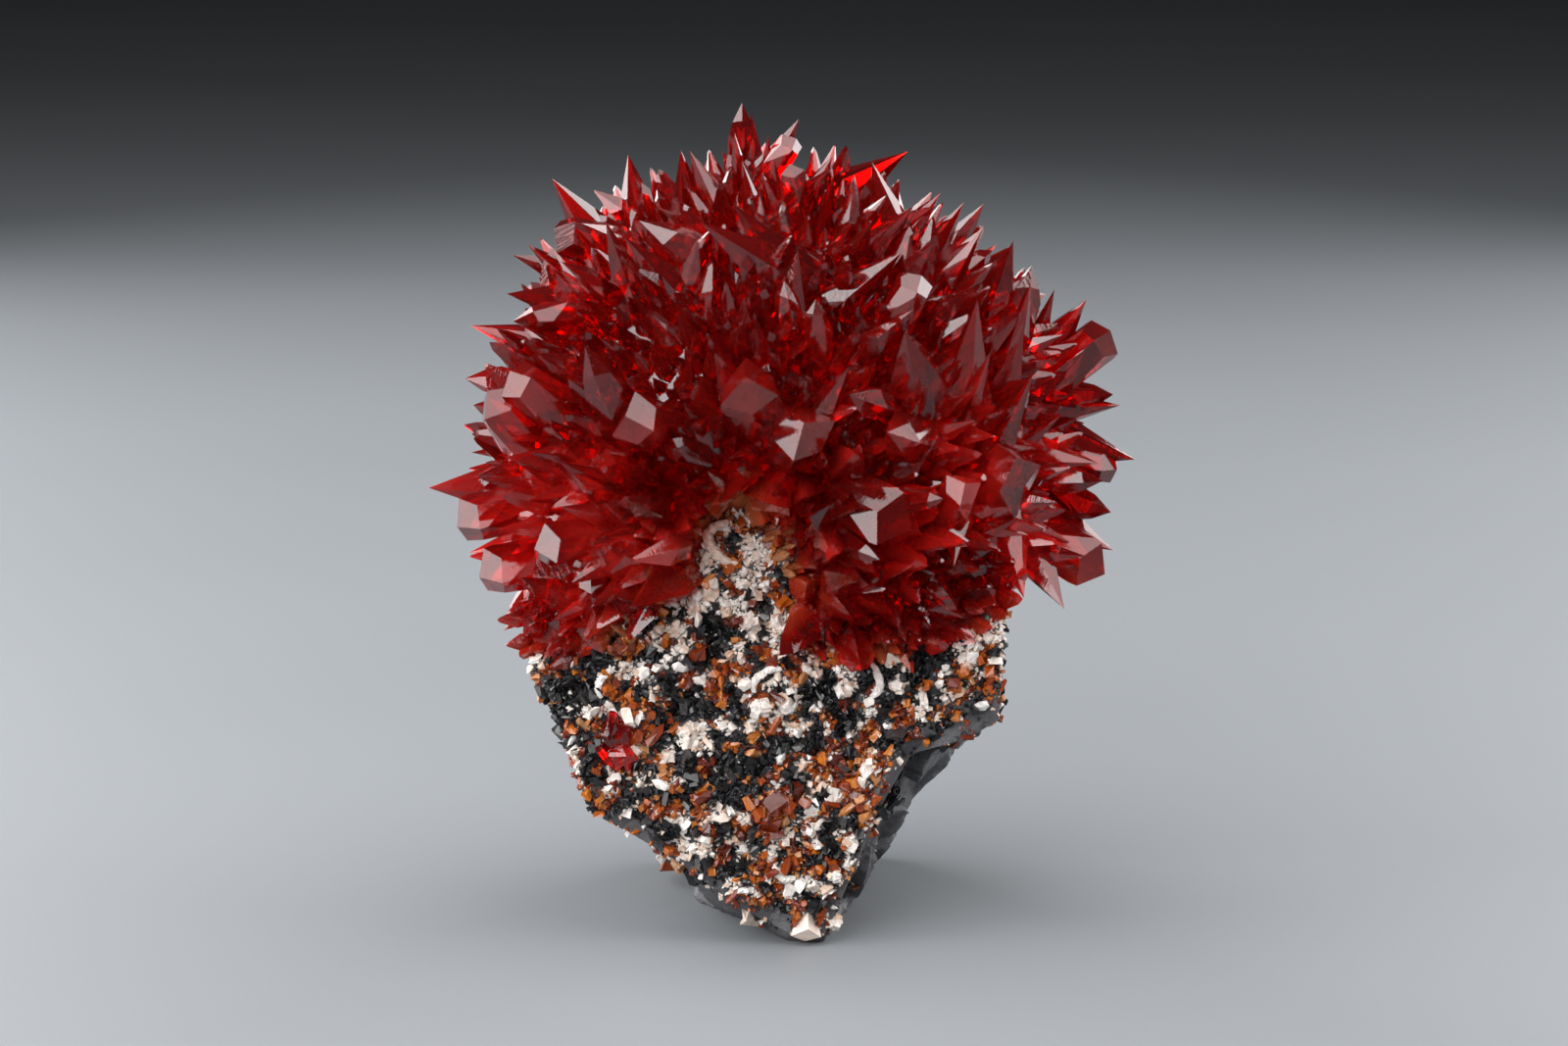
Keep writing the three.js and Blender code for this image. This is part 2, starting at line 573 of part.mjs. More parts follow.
function strayCrystal([x, y, z, axis, girth]) {
  return {
    tip: new THREE.Vector3(x, y, z),
    axis: new THREE.Vector3(...axis).normalize(),
    roll: x + z,
    girth,
    form: "block",
    length: girth * STRAY_LENGTH,
  };
}

// Druse

// A crust over the face of the rock, lumpy in front and buried behind
function druseSlab() {
  const vertices = [];
  const [firstX, lastX] = [FACE_FOOT_Z[0][0], FACE_FOOT_Z[FACE_FOOT_Z.length - 1][0]];
  for (const layer of ["front", "back"]) {
    for (let i = 0; i <= DRUSE_COLUMNS; i++) {
      const x = lerp(firstX, lastX, i / DRUSE_COLUMNS);
      const foot = along(FACE_FOOT_Z, x);
      const top = Math.max(foot + DRUSE_TUCK, along(CRYSTAL_EDGE, x) + DRUSE_TUCK);
      for (let j = 0; j <= DRUSE_ROWS; j++) {
        const z = lerp(foot, top, j / DRUSE_ROWS);
        const face = along(FRONT_Y, z);
        const swells = noise.noise(x * DRUSE_SWELLS, z * DRUSE_SWELLS, 0);
        const lumps = noise.noise(x * DRUSE_LUMPS, z * DRUSE_LUMPS, 0);
        const front = face - DRUSE_THICKNESS - DRUSE_RELIEF * (swells + lumps);
        vertices.push(new THREE.Vector3(x, layer === "front" ? front : face + DRUSE_TUCK, z));
      }
    }
  }
  const rows = DRUSE_ROWS + 1;
  const layerSize = rows * (DRUSE_COLUMNS + 1);
  const at = (i, j, layer = 0) => layer * layerSize + i * rows + j;
  const triangles = [];
  const quad = (a, b, c, d) => triangles.push([a, b, c], [a, c, d]);
  for (let i = 0; i < DRUSE_COLUMNS; i++) {
    for (let j = 0; j < DRUSE_ROWS; j++) {
      quad(at(i, j), at(i + 1, j), at(i + 1, j + 1), at(i, j + 1));
      quad(at(i, j, 1), at(i, j + 1, 1), at(i + 1, j + 1, 1), at(i + 1, j, 1));
    }
    quad(at(i, 0), at(i, 0, 1), at(i + 1, 0, 1), at(i + 1, 0));
    quad(at(i, DRUSE_ROWS), at(i + 1, DRUSE_ROWS), at(i + 1, DRUSE_ROWS, 1), at(i, DRUSE_ROWS, 1));
  }
  const last = DRUSE_COLUMNS;
  for (let j = 0; j < DRUSE_ROWS; j++) {
    quad(at(0, j), at(0, j + 1), at(0, j + 1, 1), at(0, j, 1));
    quad(at(last, j), at(last, j, 1), at(last, j + 1, 1), at(last, j + 1));
  }
  return solidOf(geometryOf(vertices, triangles));
}

// Assembly

const unite = (solids) => wasm.Manifold.union(solids);
const matrix = rock(0);
const aroundMatrix = rock(GAP);

const mains = MAIN_CRYSTALS.map(mainCrystal);
const crystals = [...mains, ...fillCrystals(mains)];
const crust = rock(CRUST_THICKNESS).intersect(crystalRegion());
const shared = [crystalCore(), crust];
const dome = unite([...shared, ...crystals.map((c) => growCrystal(c))]).subtract(aroundMatrix);
const aroundCrust = [-GAP, GAP].map((shift) => crystalRegion(shift, GAP));
const aroundDome = unite([crystalCore(GAP), ...aroundCrust, ...crystals.map((c) => growCrystal(c, GAP))]);

const strays = STRAY_CRYSTALS.map(strayCrystal);
const stray = unite(strays.map((c) => growCrystal(c))).subtract(aroundMatrix);
const aroundStray = unite(strays.map((c) => growCrystal(c, GAP)));

const calciteSite = strayCrystal(CALCITE_TIP);
const calcite = growCrystal(calciteSite).subtract(aroundMatrix);
const aroundCalcite = growCrystal(calciteSite, GAP);

const druse = druseSlab().subtract(unite([aroundMatrix, aroundDome, aroundStray, aroundCalcite]));

const specimen = new THREE.Group();
specimen.add(
  meshOf("matrix", matrix, COLOURS.matrix, 0.6),
  meshOf("druse", druse, COLOURS.druse, 0.7),
  meshOf("rhodochrosite", dome, COLOURS.rhodochrosite, 0.15),
  meshOf("stray_crystals", stray, COLOURS.rhodochrosite, 0.2),
  meshOf("calcite_tip", calcite, COLOURS.calcite, 0.4),
);

export default specimen;
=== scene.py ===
import json
import math

import bmesh
import bpy
import numpy as np
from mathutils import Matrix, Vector, noise
from mathutils.bvhtree import BVHTree
from mathutils.kdtree import KDTree

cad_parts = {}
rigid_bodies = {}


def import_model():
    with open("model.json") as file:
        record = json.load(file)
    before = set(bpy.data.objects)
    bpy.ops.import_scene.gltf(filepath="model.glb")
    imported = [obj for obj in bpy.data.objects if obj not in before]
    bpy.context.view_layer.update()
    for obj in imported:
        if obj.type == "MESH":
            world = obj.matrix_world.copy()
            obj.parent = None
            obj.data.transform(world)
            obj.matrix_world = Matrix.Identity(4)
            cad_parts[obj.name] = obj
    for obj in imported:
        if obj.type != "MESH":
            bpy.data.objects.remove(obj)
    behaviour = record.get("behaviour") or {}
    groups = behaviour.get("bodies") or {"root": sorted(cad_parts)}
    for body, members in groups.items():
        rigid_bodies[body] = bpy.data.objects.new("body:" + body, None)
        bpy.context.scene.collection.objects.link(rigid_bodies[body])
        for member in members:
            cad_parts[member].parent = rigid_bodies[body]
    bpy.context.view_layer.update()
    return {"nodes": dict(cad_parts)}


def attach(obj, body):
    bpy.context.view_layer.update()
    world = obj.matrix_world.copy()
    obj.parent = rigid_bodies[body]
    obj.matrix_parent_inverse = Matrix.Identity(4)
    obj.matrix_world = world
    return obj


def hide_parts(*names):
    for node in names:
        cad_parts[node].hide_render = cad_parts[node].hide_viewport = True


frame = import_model()
nodes = frame["nodes"]

MM = 0.001
SEED = 7

# Camera: the photograph's viewing angle
CAMERA_LENS = 100
CAMERA_SENSOR = 36
CAMERA_DISTANCE = 0.570
CAMERA_TILT = math.radians(10)
CAMERA_TARGET = Vector((0, -0.006, 0.0525))
VIEW_TARGET_Z = 54.5 * MM
VIEW_FORWARD = Vector((0, math.cos(CAMERA_TILT), -math.sin(CAMERA_TILT)))
VIEW_UP = Vector((0, math.sin(CAMERA_TILT), math.cos(CAMERA_TILT)))

# The crystals' dome and their lower edge across the front, as in the solids
DOME_CENTRE = np.array([-1.3, -4.0, 60.4]) * MM
DOME_REACH = np.array([43.5, 36.0, 43.5]) * MM
CRYSTAL_EDGE = np.array([
    (-38, 40), (-33, 37.5), (-26, 37), (-22, 39.5), (-17, 46), (-11, 53), (-8, 58), (-5.5, 58.5),
    (-1.5, 53), (1.5, 49), (3.5, 42), (4.5, 38), (10, 37), (17, 37.5), (22, 39.5), (28, 42), (38, 43),
]) * MM
FACE_DEPTH = -26 * MM

# The form of a young crystal, as shares of its length or girth
CRYSTAL_SIDES = 6
BLUNT_EDGE = 0.8
GIRDLE_AT = 0.85
GIRDLE_STAGGER = 0.1
TIP_ROUND = 0.55
ROOT_TAPER = 0.86

# Young crystals that grow between the large ones
YOUNG_TRIES = 40000
YOUNG_SPACING = 3.0 * MM
YOUNG_TOP = 0.98
YOUNG_BELOW = 0.88
YOUNG_INSIDE = 0.5
YOUNG_FACING = (0.12, 0.45)
YOUNG_DEEP = 0.8
YOUNG_ROOM = (0.5, 1.0)
YOUNG_LENGTH = (5.0 * MM, 12.0 * MM)
YOUNG_GIRTH = (0.42, 0.6)
YOUNG_BLUNT = [(0.4, (0.06, 0.15)), (1.0, (0.25, 0.45))]
YOUNG_ROOT = 2.0 * MM
YOUNG_LEAN = 0.24
YOUNG_SPLAY = 0.35
YOUNG_SWAY = np.array([1, 0.65, 1])
YOUNG_RISE = np.array([0, 0, 0.25])

# Young crystals on the crust along the lower edge, clear of the first curl
CRUST_REACH = 9.0 * MM
CRUST_FRONT = -0.6
CRUST_GAP = 2.4 * MM
CRUST_LENGTH = (3.2 * MM, 6.0 * MM)
CRUST_GIRTH = (0.65, 0.95)
CRUST_OUTWARD = 0.5
CRUST_HOLD = 0.6 * MM
CURL_SPOT = (-7.0 * MM, 52.0 * MM)
CURL_ROOM = 6.0 * MM

# Small crystals on the bare core and the crust
CORE_BELOW = 0.79
CORE_FACING = 0.85
CORE_SPLAY = 0.6
CORE_SPACING = 1.7 * MM
CORE_LENGTH = (2.6 * MM, 4.6 * MM)
CORE_GIRTH = (0.55, 0.8)
CORE_BLUNT = (0.08, 0.4)

# Small crystals on the stray ones: length in mm, then girth and the part that stands out as shares of it
STRAY_TRIES = 200
STRAY_FRONT = 0.2
STRAY_SPACING = 1.3 * MM
STRAY_COUNT = 14
STRAY_LEAN = 0.3
STRAY_LENGTH = (0.9, 1.8)
STRAY_GIRTH = (0.7, 1.0)
STRAY_OUT = 0.7
STRAY_BLUNT = 0.3

# Growth lines: noise scale along and across a face, and the shift from face to face
LINES_ALONG = 2600
LINES_ACROSS = 160
LINES_TURNS = 40
LINES_SHIFT = np.array([13.7, 7.1, 3.3])

# Iron stain, from the edge of the ore inwards
STAIN_REACH = 5.5 * MM
STAIN_FACE = (FACE_DEPTH - 6 * MM, FACE_DEPTH + 3 * MM)
STAIN_PATCH = 130
STAIN_CLOUDS = (-0.35, 0.25)
STAIN_FADE = 0.6
TONGUE_X = -4 * MM
TONGUE_REACH = (16 * MM, 26 * MM)

# Milkiness in clouds: a little everywhere, more towards the foot of the dome
MILK_LEAST = 0.02
MILK_LOW = 0.4
MILK_HEIGHT = (46 * MM, 84 * MM)
MILK_PATCH = 110
MILK_SHIFT = Vector((5, 2, 9))
MILK_CLOUDS = (-0.1, 0.35)

# Stained fibres along the edge of the ore, two at each step, with their spread across the edge in mm
FIBRE_STEP = 0.55 * MM
FIBRE_PAIR = 2
FIBRE_ACROSS = (-1.5, 2.5)
FIBRE_FORWARD = (0.3, 1.3)
FIBRE_SPLAY = 0.3
FIBRE_LENGTH = (1.6 * MM, 4.2 * MM)
FIBRE_GIRTH = (0.7 * MM, 1.7 * MM)
FIBRE_SPAN = (-24 * MM, 7 * MM)
FIBRE_OUT = 0.2
FIBRE_RAGGED = 0.06

# Fractured rock: size of the chips, how far they tilt and how far they step
ROCK_VOXEL = 0.75 * MM
CHIPS = [(20 * MM, 0.36, 2.0 * MM), (9 * MM, 0.3, 0.8 * MM), (3.5 * MM, 0.22, 0.2 * MM)]
CHIP_DEPTH = (-5.0 * MM, 0.3 * MM)
CHIP_CLEARANCE = (0.4 * MM, 3.5 * MM)
BASE_CLEARANCE = (0.1 * MM, 1.5 * MM)
ROCK_FINE_SCALE = 900
ROCK_FINE_DEPTH = 0.12 * MM

# Druse grains: tries, spacing and scale in mm of the coarse, the middle and the fine layer
GRAIN_LAYERS = [(12000, 0.8 * MM, 1.0), (26000, 0.45 * MM, 0.6), (40000, 0.34 * MM, 0.38)]
GRAIN_FINE = 0.5
GRAIN_FRONT = 0.35
GRAIN_SPREAD = 0.4
GRAIN_RAGGED = 0.2
GRAIN_LIMIT = 1.9
GRAIN_STRETCH = (0.65, 1.3)
GRAIN_LIFT = (-0.15, 0.55)

# Forms and proportions of the white, the orange and the black grains, half of each colour in each form
GRAIN_KINDS = [
    [("lump", (0.75, 0.85, 1.25)), ("block", (0.75, 1.2, 0.55))],
    [("block", (0.75, 0.95, 0.8)), ("prism", (0.75, 0.75, 1.2))],
    [("blade", (0.32, 0.85, 1.7)), ("block", (0.6, 0.85, 1.0))],
]
GRAIN_FORM_SHARES = (0.5, 1.0)

# Patches of the druse, seen from the front: x, z and radius in mm, then shares of white, orange and black
PATCHES = [
    (-7, 45, 6, (0.8, 0.15, 0.05)),
    (-13, 41.5, 3.5, (0.6, 0.3, 0.1)),
    (-8, 55, 5, (0.2, 0.7, 0.1)),
    (-2, 48, 4, (0.4, 0.5, 0.1)),
    (-2.5, 31, 3, (0.7, 0.2, 0.1)),
    (-12.5, 27, 2.5, (0.65, 0.15, 0.2)),
    (9, 34.5, 3, (0.5, 0.2, 0.3)),
    (-20.5, 34.5, 2.5, (0.7, 0.2, 0.1)),
    (24, 38, 3, (0.4, 0.4, 0.2)),
    (0, 8, 4, (0.5, 0.4, 0.1)),
    (-7, 13, 4, (0.5, 0.2, 0.3)),
    (-1.5, 17, 3.5, (0.1, 0.85, 0.05)),
    (7.7, 23, 3.5, (0.25, 0.65, 0.1)),
    (-20, 29, 4, (0.1, 0.7, 0.2)),
    (25.5, 34, 4, (0.15, 0.6, 0.25)),
    (-19, 42, 4.5, (0.15, 0.75, 0.1)),
    (-6, 33, 4, (0.15, 0.65, 0.2)),
    (-2.6, 9, 3, (0.3, 0.6, 0.1)),
    (9, 16.5, 4, (0.25, 0.65, 0.1)),
    (14, 26, 3.5, (0.2, 0.6, 0.2)),
    (17, 34, 6, (0.1, 0.12, 0.78)),
    (-13, 32, 4, (0.08, 0.1, 0.82)),
    (-8, 23, 5, (0.15, 0.1, 0.75)),
    (-9, 40.5, 3, (0.2, 0.05, 0.75)),
    (7, 29, 4, (0.1, 0.1, 0.8)),
    (-26, 32, 5, (0.15, 0.15, 0.7)),
    (1, 25, 5, (0.15, 0.2, 0.65)),
    (-14, 19, 5, (0.2, 0.15, 0.65)),
    (11, 12, 4, (0.1, 0.2, 0.7)),
]
PATCH_REST = (0.2, 0.3, 0.5)
PATCH_REST_WEIGHT = 0.35

# Clumps of one colour in the druse: noise scale, shift between colours, and pull of clumps and of chance
CLUMP_PATCH = 430
CLUMP_SHIFT = 40
CLUMP_PULL = 5.0
CLUMP_CHANCE = 0.45

# Edges of the crust beside the bare rock, seen from the front in mm: z and greatest x, then x and least z
CRUST_RIGHT = [(0, 4.5), (3.2, 5.1), (6.8, 7.3), (17.9, 12.2), (25.1, 14.9), (31.4, 27.9), (33.0, 60.0)]
CRUST_LOW = [(-24.4, 17.1), (-19.9, 16.2), (-15.4, 12.2), (-9.6, 9.0), (-4.2, 3.7), (1.1, 2.8), (2.0, -9.0)]
CRUST_WAVE = 260
CRUST_RAGGED = 2.0
CRUST_STREWN = 0.05

# White curls, seen from the front: x, z and radius in mm, first and last angle in degrees, thickness in mm
CURLS = [
    (-7.0, 52.2, 2.6, 95, 290, 1.5),
    (-1.6, 33.2, 2.2, 60, 200, 1.2),
    (9.6, 34.2, 2.8, -55, 50, 1.2),
    (-20.5, 33.0, 3.4, 120, 200, 1.2),
    (1.0, 11.0, 2.8, 200, 280, 1.1),
]
CURL_SEGMENTS = 26
CURL_SIDES = 9
CURL_LIFT = 0.5 * MM
CURL_TOWARDS = np.array([0, -1.5, 0.2])
CURL_WAVE = 0.1
CURL_ROUGH = (0.8, 1.15)
CURL_ENDS = 0.35

# Larger lumps on the druse, seen from the front: x, z and girth in mm, and kind of grain
LUMPS = [
    (-3.2, 30.2, 3.4, "white"), (0.2, 30.6, 3.0, "white"), (-1.6, 29.8, 2.6, "white"),
    (-12.6, 27.4, 3.8, "white"), (-15.6, 23.6, 2.4, "white"), (-9.4, 45.6, 2.6, "white"),
    (-13.6, 40.4, 2.6, "white"), (-11.4, 43.2, 2.4, "white"), (-4.6, 41.4, 2.8, "white"),
    (3.4, 14.4, 2.2, "white"), (8.6, 12.6, 2.6, "white"), (6.4, 8.8, 2.4, "white"),
    (-22.6, 20.2, 2.6, "white"), (-1.8, 16.8, 4.2, "orange"), (-0.2, 18.2, 3.2, "orange"),
    (7.6, 23.0, 3.0, "orange"), (9.4, 19.6, 3.4, "orange"), (-14.6, 17.2, 2.8, "orange"),
    (-8.4, 31.4, 2.6, "orange"), (-21.0, 38.2, 3.0, "orange"), (1.6, 10.4, 2.4, "orange"),
    (22.4, 33.4, 2.8, "orange"), (-7.2, 49.0, 2.4, "orange"), (24.0, 36.8, 2.6, "white"),
    (14.8, 33.6, 2.4, "white"), (11.6, 22.6, 2.6, "white"), (7.2, 4.6, 2.4, "white"),
]
LUMP_GRAINS = 16
LUMP_SPREAD = (0.1, 0.42)
LUMP_RAISED = 0.7
LUMP_GIRTH = (0.28, 0.55)
LUMP_STRETCH = (0.7, 1.2)
LUMP_RAGGED = 0.1

# Sheaves of black blades, seen from the front: x, z, spread in mm, angle in degrees and count
SHEAVES = [
    (-12.6, 31.0, 3.2, 50, 34),
    (7.6, 29.2, 3.0, 60, 34),
    (17.0, 35.6, 3.6, 80, 40),
    (-9.4, 41.2, 2.6, 100, 30),
    (-16.4, 27.6, 2.8, 30, 24),
    (12.8, 16.6, 3.0, 70, 34),
    (1.4, 20.6, 2.8, 10, 26),
    (-26.4, 31.0, 3.0, 120, 26),
]
SHEAF_TOWARDS = -0.5
SHEAF_FLAT = np.array([1, 0.25, 1])
SHEAF_LIFT = 0.3
SHEAF_SPLAY = 0.22
BLADE_SIZE = np.array([0.22, 0.75, 2.6]) * MM
BLADE_STRETCH = (0.6, 1.3)
BLADE_RAGGED = 0.06

# Small grains on the bare rock, with few of them on its right flank
ROCK_GRAIN_TRIES = 16000
ROCK_GRAIN_SPACING = 0.7 * MM
ROCK_GRAIN_PATCH = 60
ROCK_GRAIN_REACH = 2.2 * MM
ROCK_GRAIN_CLOUDS = (0.1, 0.5)
ROCK_GRAIN_RARE = 0.5
ROCK_GRAIN_SIZE = 0.7 * MM
ROCK_GRAIN_SPREAD = 0.4
ROCK_GRAIN_STRETCH = (0.7, 1.3)
ROCK_GRAIN_SHARES = (0.25, 0.35, 0.4)
BARE_FLANK = (6.0 * MM, 28.0 * MM)
BARE_CHANCE = 0.12

# Greatest turn of a blade, a fibre or a stray crystal about its own axis, in radians
ROLL_LIMIT = 3

# Crystal look: refraction, colour by stain, clearness by milk, roughness, growth lines and absorption
CRYSTAL_IOR = 1.6
CRYSTAL_SPECULAR = 0.25
CRYSTAL_STOPS = [(0.0, (0.88, 0.028, 0.02)), (0.45, (0.72, 0.07, 0.025)), (1.0, (0.46, 0.14, 0.05))]
CRYSTAL_CLEAR = (0.95, 0.35)
CRYSTAL_ROUGHNESS = (0.004, 0.035)
CRYSTAL_LINES = 0.13
ABSORPTION_COLOUR = (0.964, 0.06, 0.03, 1)
ABSORPTION_DENSITY = 1650.0

# Studio, in metres: the floor sweep, the lights and the dim surroundings
FLOOR_TONES = [(0.3, (0.16, 0.17, 0.182)), (0.7, (0.176, 0.186, 0.198))]
FLOOR_ROUGHNESS = 0.6
FLOOR_FRONT = -2.0
FLOOR_BACK = 2.6
FLOOR_BEND = 0.8
FLOOR_STEPS = 14
FLOOR_TOP = 2.6
FLOOR_HALF = 3.5
LIGHT_TARGET = (0, -0.01, 0.055)
# Name, place, width and height, and radiance of each light
SOFTBOXES = [
    ("front", (-0.32, -0.72, 0.42), (0.55, 0.55), 6.6),
    ("top", (-0.05, -0.2, 0.75), (0.9, 0.7), 3.6),
    ("left", (-0.6, -0.2, 0.3), (0.45, 0.75), 5.0),
    ("right", (0.62, -0.1, 0.35), (0.45, 0.75), 3.4),
    ("back_left", (-0.5, 0.42, 0.3), (0.6, 0.7), 5.5),
    ("back_right", (0.5, 0.45, 0.35), (0.6, 0.7), 4.5),
]
WORLD_COLOUR = (0.9, 0.94, 1.0, 1)
WORLD_STRENGTH = 0.05


# Mesh building

def new_piece(name, vertices, faces, mat, slot):
    mesh = bpy.data.meshes.new(name)
    mesh.from_pydata(np.asarray(vertices).tolist(), [], np.asarray(faces).tolist())
    mesh.validate()
    piece = bpy.data.objects.new(name, mesh)
    bpy.context.scene.collection.objects.link(piece)
    mesh.materials.append(mat)
    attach(piece, "root")
    return piece


def mesh_arrays(mesh):
    vertices = np.empty(len(mesh.vertices) * 3)
    mesh.vertices.foreach_get("co", vertices)
    mesh.calc_loop_triangles()
    triangles = np.empty(len(mesh.loop_triangles) * 3, np.int64)
    mesh.loop_triangles.foreach_get("vertices", triangles)
    return vertices.reshape(-1, 3), triangles.reshape(-1, 3)


def welded(vertices, triangles):
    """The same surface with its shared vertices merged."""
    keys = np.round(vertices / (0.002 * MM)).astype(np.int64)
    _, first, inverse = np.unique(keys, axis=0, return_index=True, return_inverse=True)
    triangles = inverse.reshape(-1)[triangles]
    a, b, c = triangles.T
    return vertices[first], triangles[(a != b) & (b != c) & (a != c)]


def evaluated_mesh(piece):
    """The piece's mesh with its modifiers applied."""
    bpy.context.view_layer.update()
    return bpy.data.meshes.new_from_object(piece.evaluated_get(bpy.context.evaluated_depsgraph_get()))


def surface_tree(*names):
    """A tree of the nodes' triangles, for finding the nearest place on them."""
    vertices, triangles = [], []
    for name in names:
        points, faces = mesh_arrays(nodes[name].data)
        triangles += (faces + len(vertices)).tolist()
        vertices += points.tolist()
    return BVHTree.FromPolygons(vertices, triangles)


def unit(v):
    return v / np.maximum(np.linalg.norm(v, axis=-1, keepdims=True), 1e-12)


def sample_surface(vertices, triangles, count, rng):
    """Random points of a surface, spread by area, with their normals."""
    a, b, c = (vertices[triangles[:, k]] for k in range(3))
    cross = np.cross(b - a, c - a)
    area = np.linalg.norm(cross, axis=1)
    pick = rng.choice(len(triangles), count, p=area / area.sum())
    u, v = rng.random((2, count, 1))
    fold = (u + v) > 1
    u, v = np.where(fold, 1 - u, u), np.where(fold, 1 - v, v)
    points = a[pick] + u * (b - a)[pick] + v * (c - a)[pick]
    return points, unit(cross)[pick]


def spaced(points, distance):
    """Indices of points that keep their distance from the ones taken before."""
    taken = []
    cells = {}
    around = [(x, y, z) for x in (-1, 0, 1) for y in (-1, 0, 1) for z in (-1, 0, 1)]
    places = points.tolist()
    for k, place in enumerate(places):
        i, j, l = (int(c // distance) for c in place)
        near = [m for x, y, z in around for m in cells.get((i + x, j + y, l + z), ())]
        if all(math.dist(place, places[m]) > distance for m in near):
            taken.append(k)
            cells.setdefault((i, j, l), []).append(k)
    return taken


def frame_along(axis, roll):
    """A rotation whose third column is the axis."""
    helper = np.array([1.0, 0, 0]) if abs(axis[0]) < 0.8 else np.array([0, 1.0, 0])
    side = unit(np.cross(axis, helper))
    other = np.cross(axis, side)
    turned = math.cos(roll) * side + math.sin(roll) * other
    return np.column_stack([turned, np.cross(axis, turned), axis])


def random_turns(count, rng):
    w, x, y, z = unit(rng.normal(size=(count, 4))).T
    return np.stack([
        np.stack([1 - 2 * (y * y + z * z), 2 * (x * y - z * w), 2 * (x * z + y * w)], -1),
        np.stack([2 * (x * y + z * w), 1 - 2 * (x * x + z * z), 2 * (y * z - x * w)], -1),
        np.stack([2 * (x * z - y * w), 2 * (y * z + x * w), 1 - 2 * (x * x + y * y)], -1),
    ], 1)


def smooth_share(value, low, high):
    t = np.clip((value - low) / (high - low), 0, 1)
    return t * t * (3 - 2 * t)


def set_values(mesh, name, values):
    layer = mesh.attributes.new(name, "FLOAT", "POINT")
    layer.data.foreach_set("value", np.asarray(values, np.float32))


# Materials

def material(name):
    mat = bpy.data.materials.new(name)
    mat.use_nodes = True
    tree = mat.node_tree
    return mat, tree, tree.nodes["Principled BSDF"]


def add(tree, kind, **values):
    node = tree.nodes.new(kind)
    for key, value in values.items():
        if key in node.inputs:
            node.inputs[key].default_value = value
        else:
            setattr(node, key, value)
    return node


def link(tree, source, target):
    tree.links.new(source, target)


def ramp(tree, factor, stops):
    node = tree.nodes.new("ShaderNodeValToRGB")
    elements = node.color_ramp.elements
    while len(elements) < len(stops):
        elements.new(0.5)
    for element, (place, colour) in zip(elements, stops):
        element.position = place
        element.color = (*colour, 1)
    link(tree, factor, node.inputs["Fac"])
    return node.outputs["Color"]


def noise_value(tree, scale, detail=4.0, roughness=0.55):
    coords = add(tree, "ShaderNodeTexCoord")
    node = add(tree, "ShaderNodeTexNoise", Scale=scale, Detail=detail, Roughness=roughness)
    link(tree, coords.outputs["Object"], node.inputs["Vector"])
    return node.outputs["Fac"]


def spread(tree, value, low, high, first, last):
    """The value's range from first to last, stretched from low to high."""
    ends = {"From Min": first, "From Max": last, "To Min": low, "To Max": high}
    node = add(tree, "ShaderNodeMapRange", **ends)
    link(tree, value, node.inputs["Value"])
    return node.outputs["Result"]


def mixed(tree, factor, first, second, blend="MIX"):
    node = add(tree, "ShaderNodeMix", data_type="RGBA", blend_type=blend)
    for source, socket in ((factor, node.inputs[0]), (first, node.inputs[6]), (second, node.inputs[7])):
        if isinstance(source, tuple):
            socket.default_value = (*source, 1)
        elif isinstance(source, float):
            socket.default_value = source
        else:
            link(tree, source, socket)
    return node.outputs[2]


def bumped(tree, bsdf, height, strength, distance):
    node = add(tree, "ShaderNodeBump", Strength=strength, Distance=distance)
    link(tree, height, node.inputs["Height"])
    link(tree, node.outputs["Normal"], bsdf.inputs["Normal"])


def attribute(tree, name, output="Fac"):
    return add(tree, "ShaderNodeAttribute", attribute_name=name).outputs[output]


def crystal_material():
    mat, tree, bsdf = material("rhodochrosite")
    bsdf.inputs["IOR"].default_value = CRYSTAL_IOR
    bsdf.inputs["Specular IOR Level"].default_value = CRYSTAL_SPECULAR
    stain = attribute(tree, "stain")
    link(tree, ramp(tree, stain, CRYSTAL_STOPS), bsdf.inputs["Base Color"])
    milk = attribute(tree, "milk")
    link(tree, spread(tree, milk, *CRYSTAL_CLEAR, 0.0, 1.0), bsdf.inputs["Transmission Weight"])
    worn = spread(tree, noise_value(tree, 260, 3), *CRYSTAL_ROUGHNESS, 0.35, 0.75)
    link(tree, worn, bsdf.inputs["Roughness"])
    lines = add(tree, "ShaderNodeTexNoise", Scale=1.0, Detail=3.0, Roughness=0.6)
    link(tree, attribute(tree, "stripe", "Vector"), lines.inputs["Vector"])
    bumped(tree, bsdf, lines.outputs["Fac"], CRYSTAL_LINES, 0.00012)
    volume = add(tree, "ShaderNodeVolumeAbsorption", Color=ABSORPTION_COLOUR, Density=ABSORPTION_DENSITY)
    link(tree, volume.outputs["Volume"], tree.nodes["Material Output"].inputs["Volume"])
    return mat


def rock_material():
    mat, tree, bsdf = material("ore")
    greys = [(0.3, (0.03, 0.03, 0.034)), (0.55, (0.075, 0.074, 0.082)), (0.78, (0.15, 0.145, 0.15))]
    grey = ramp(tree, noise_value(tree, 160, 7, 0.68), greys)
    rust_share = spread(tree, noise_value(tree, 48, 5, 0.6), 0.0, 0.65, 0.55, 0.75)
    rusty = mixed(tree, rust_share, grey, (0.085, 0.045, 0.024))
    specks = spread(tree, noise_value(tree, 2600, 2, 0.5), 0.0, 0.5, 0.66, 0.74)
    link(tree, mixed(tree, specks, rusty, (0.2, 0.19, 0.19)), bsdf.inputs["Base Color"])
    link(tree, spread(tree, noise_value(tree, 420, 4), 0.24, 0.55, 0.3, 0.7), bsdf.inputs["Roughness"])
    bumped(tree, bsdf, noise_value(tree, 750, 8, 0.72), 0.7, 0.0009)
    return mat


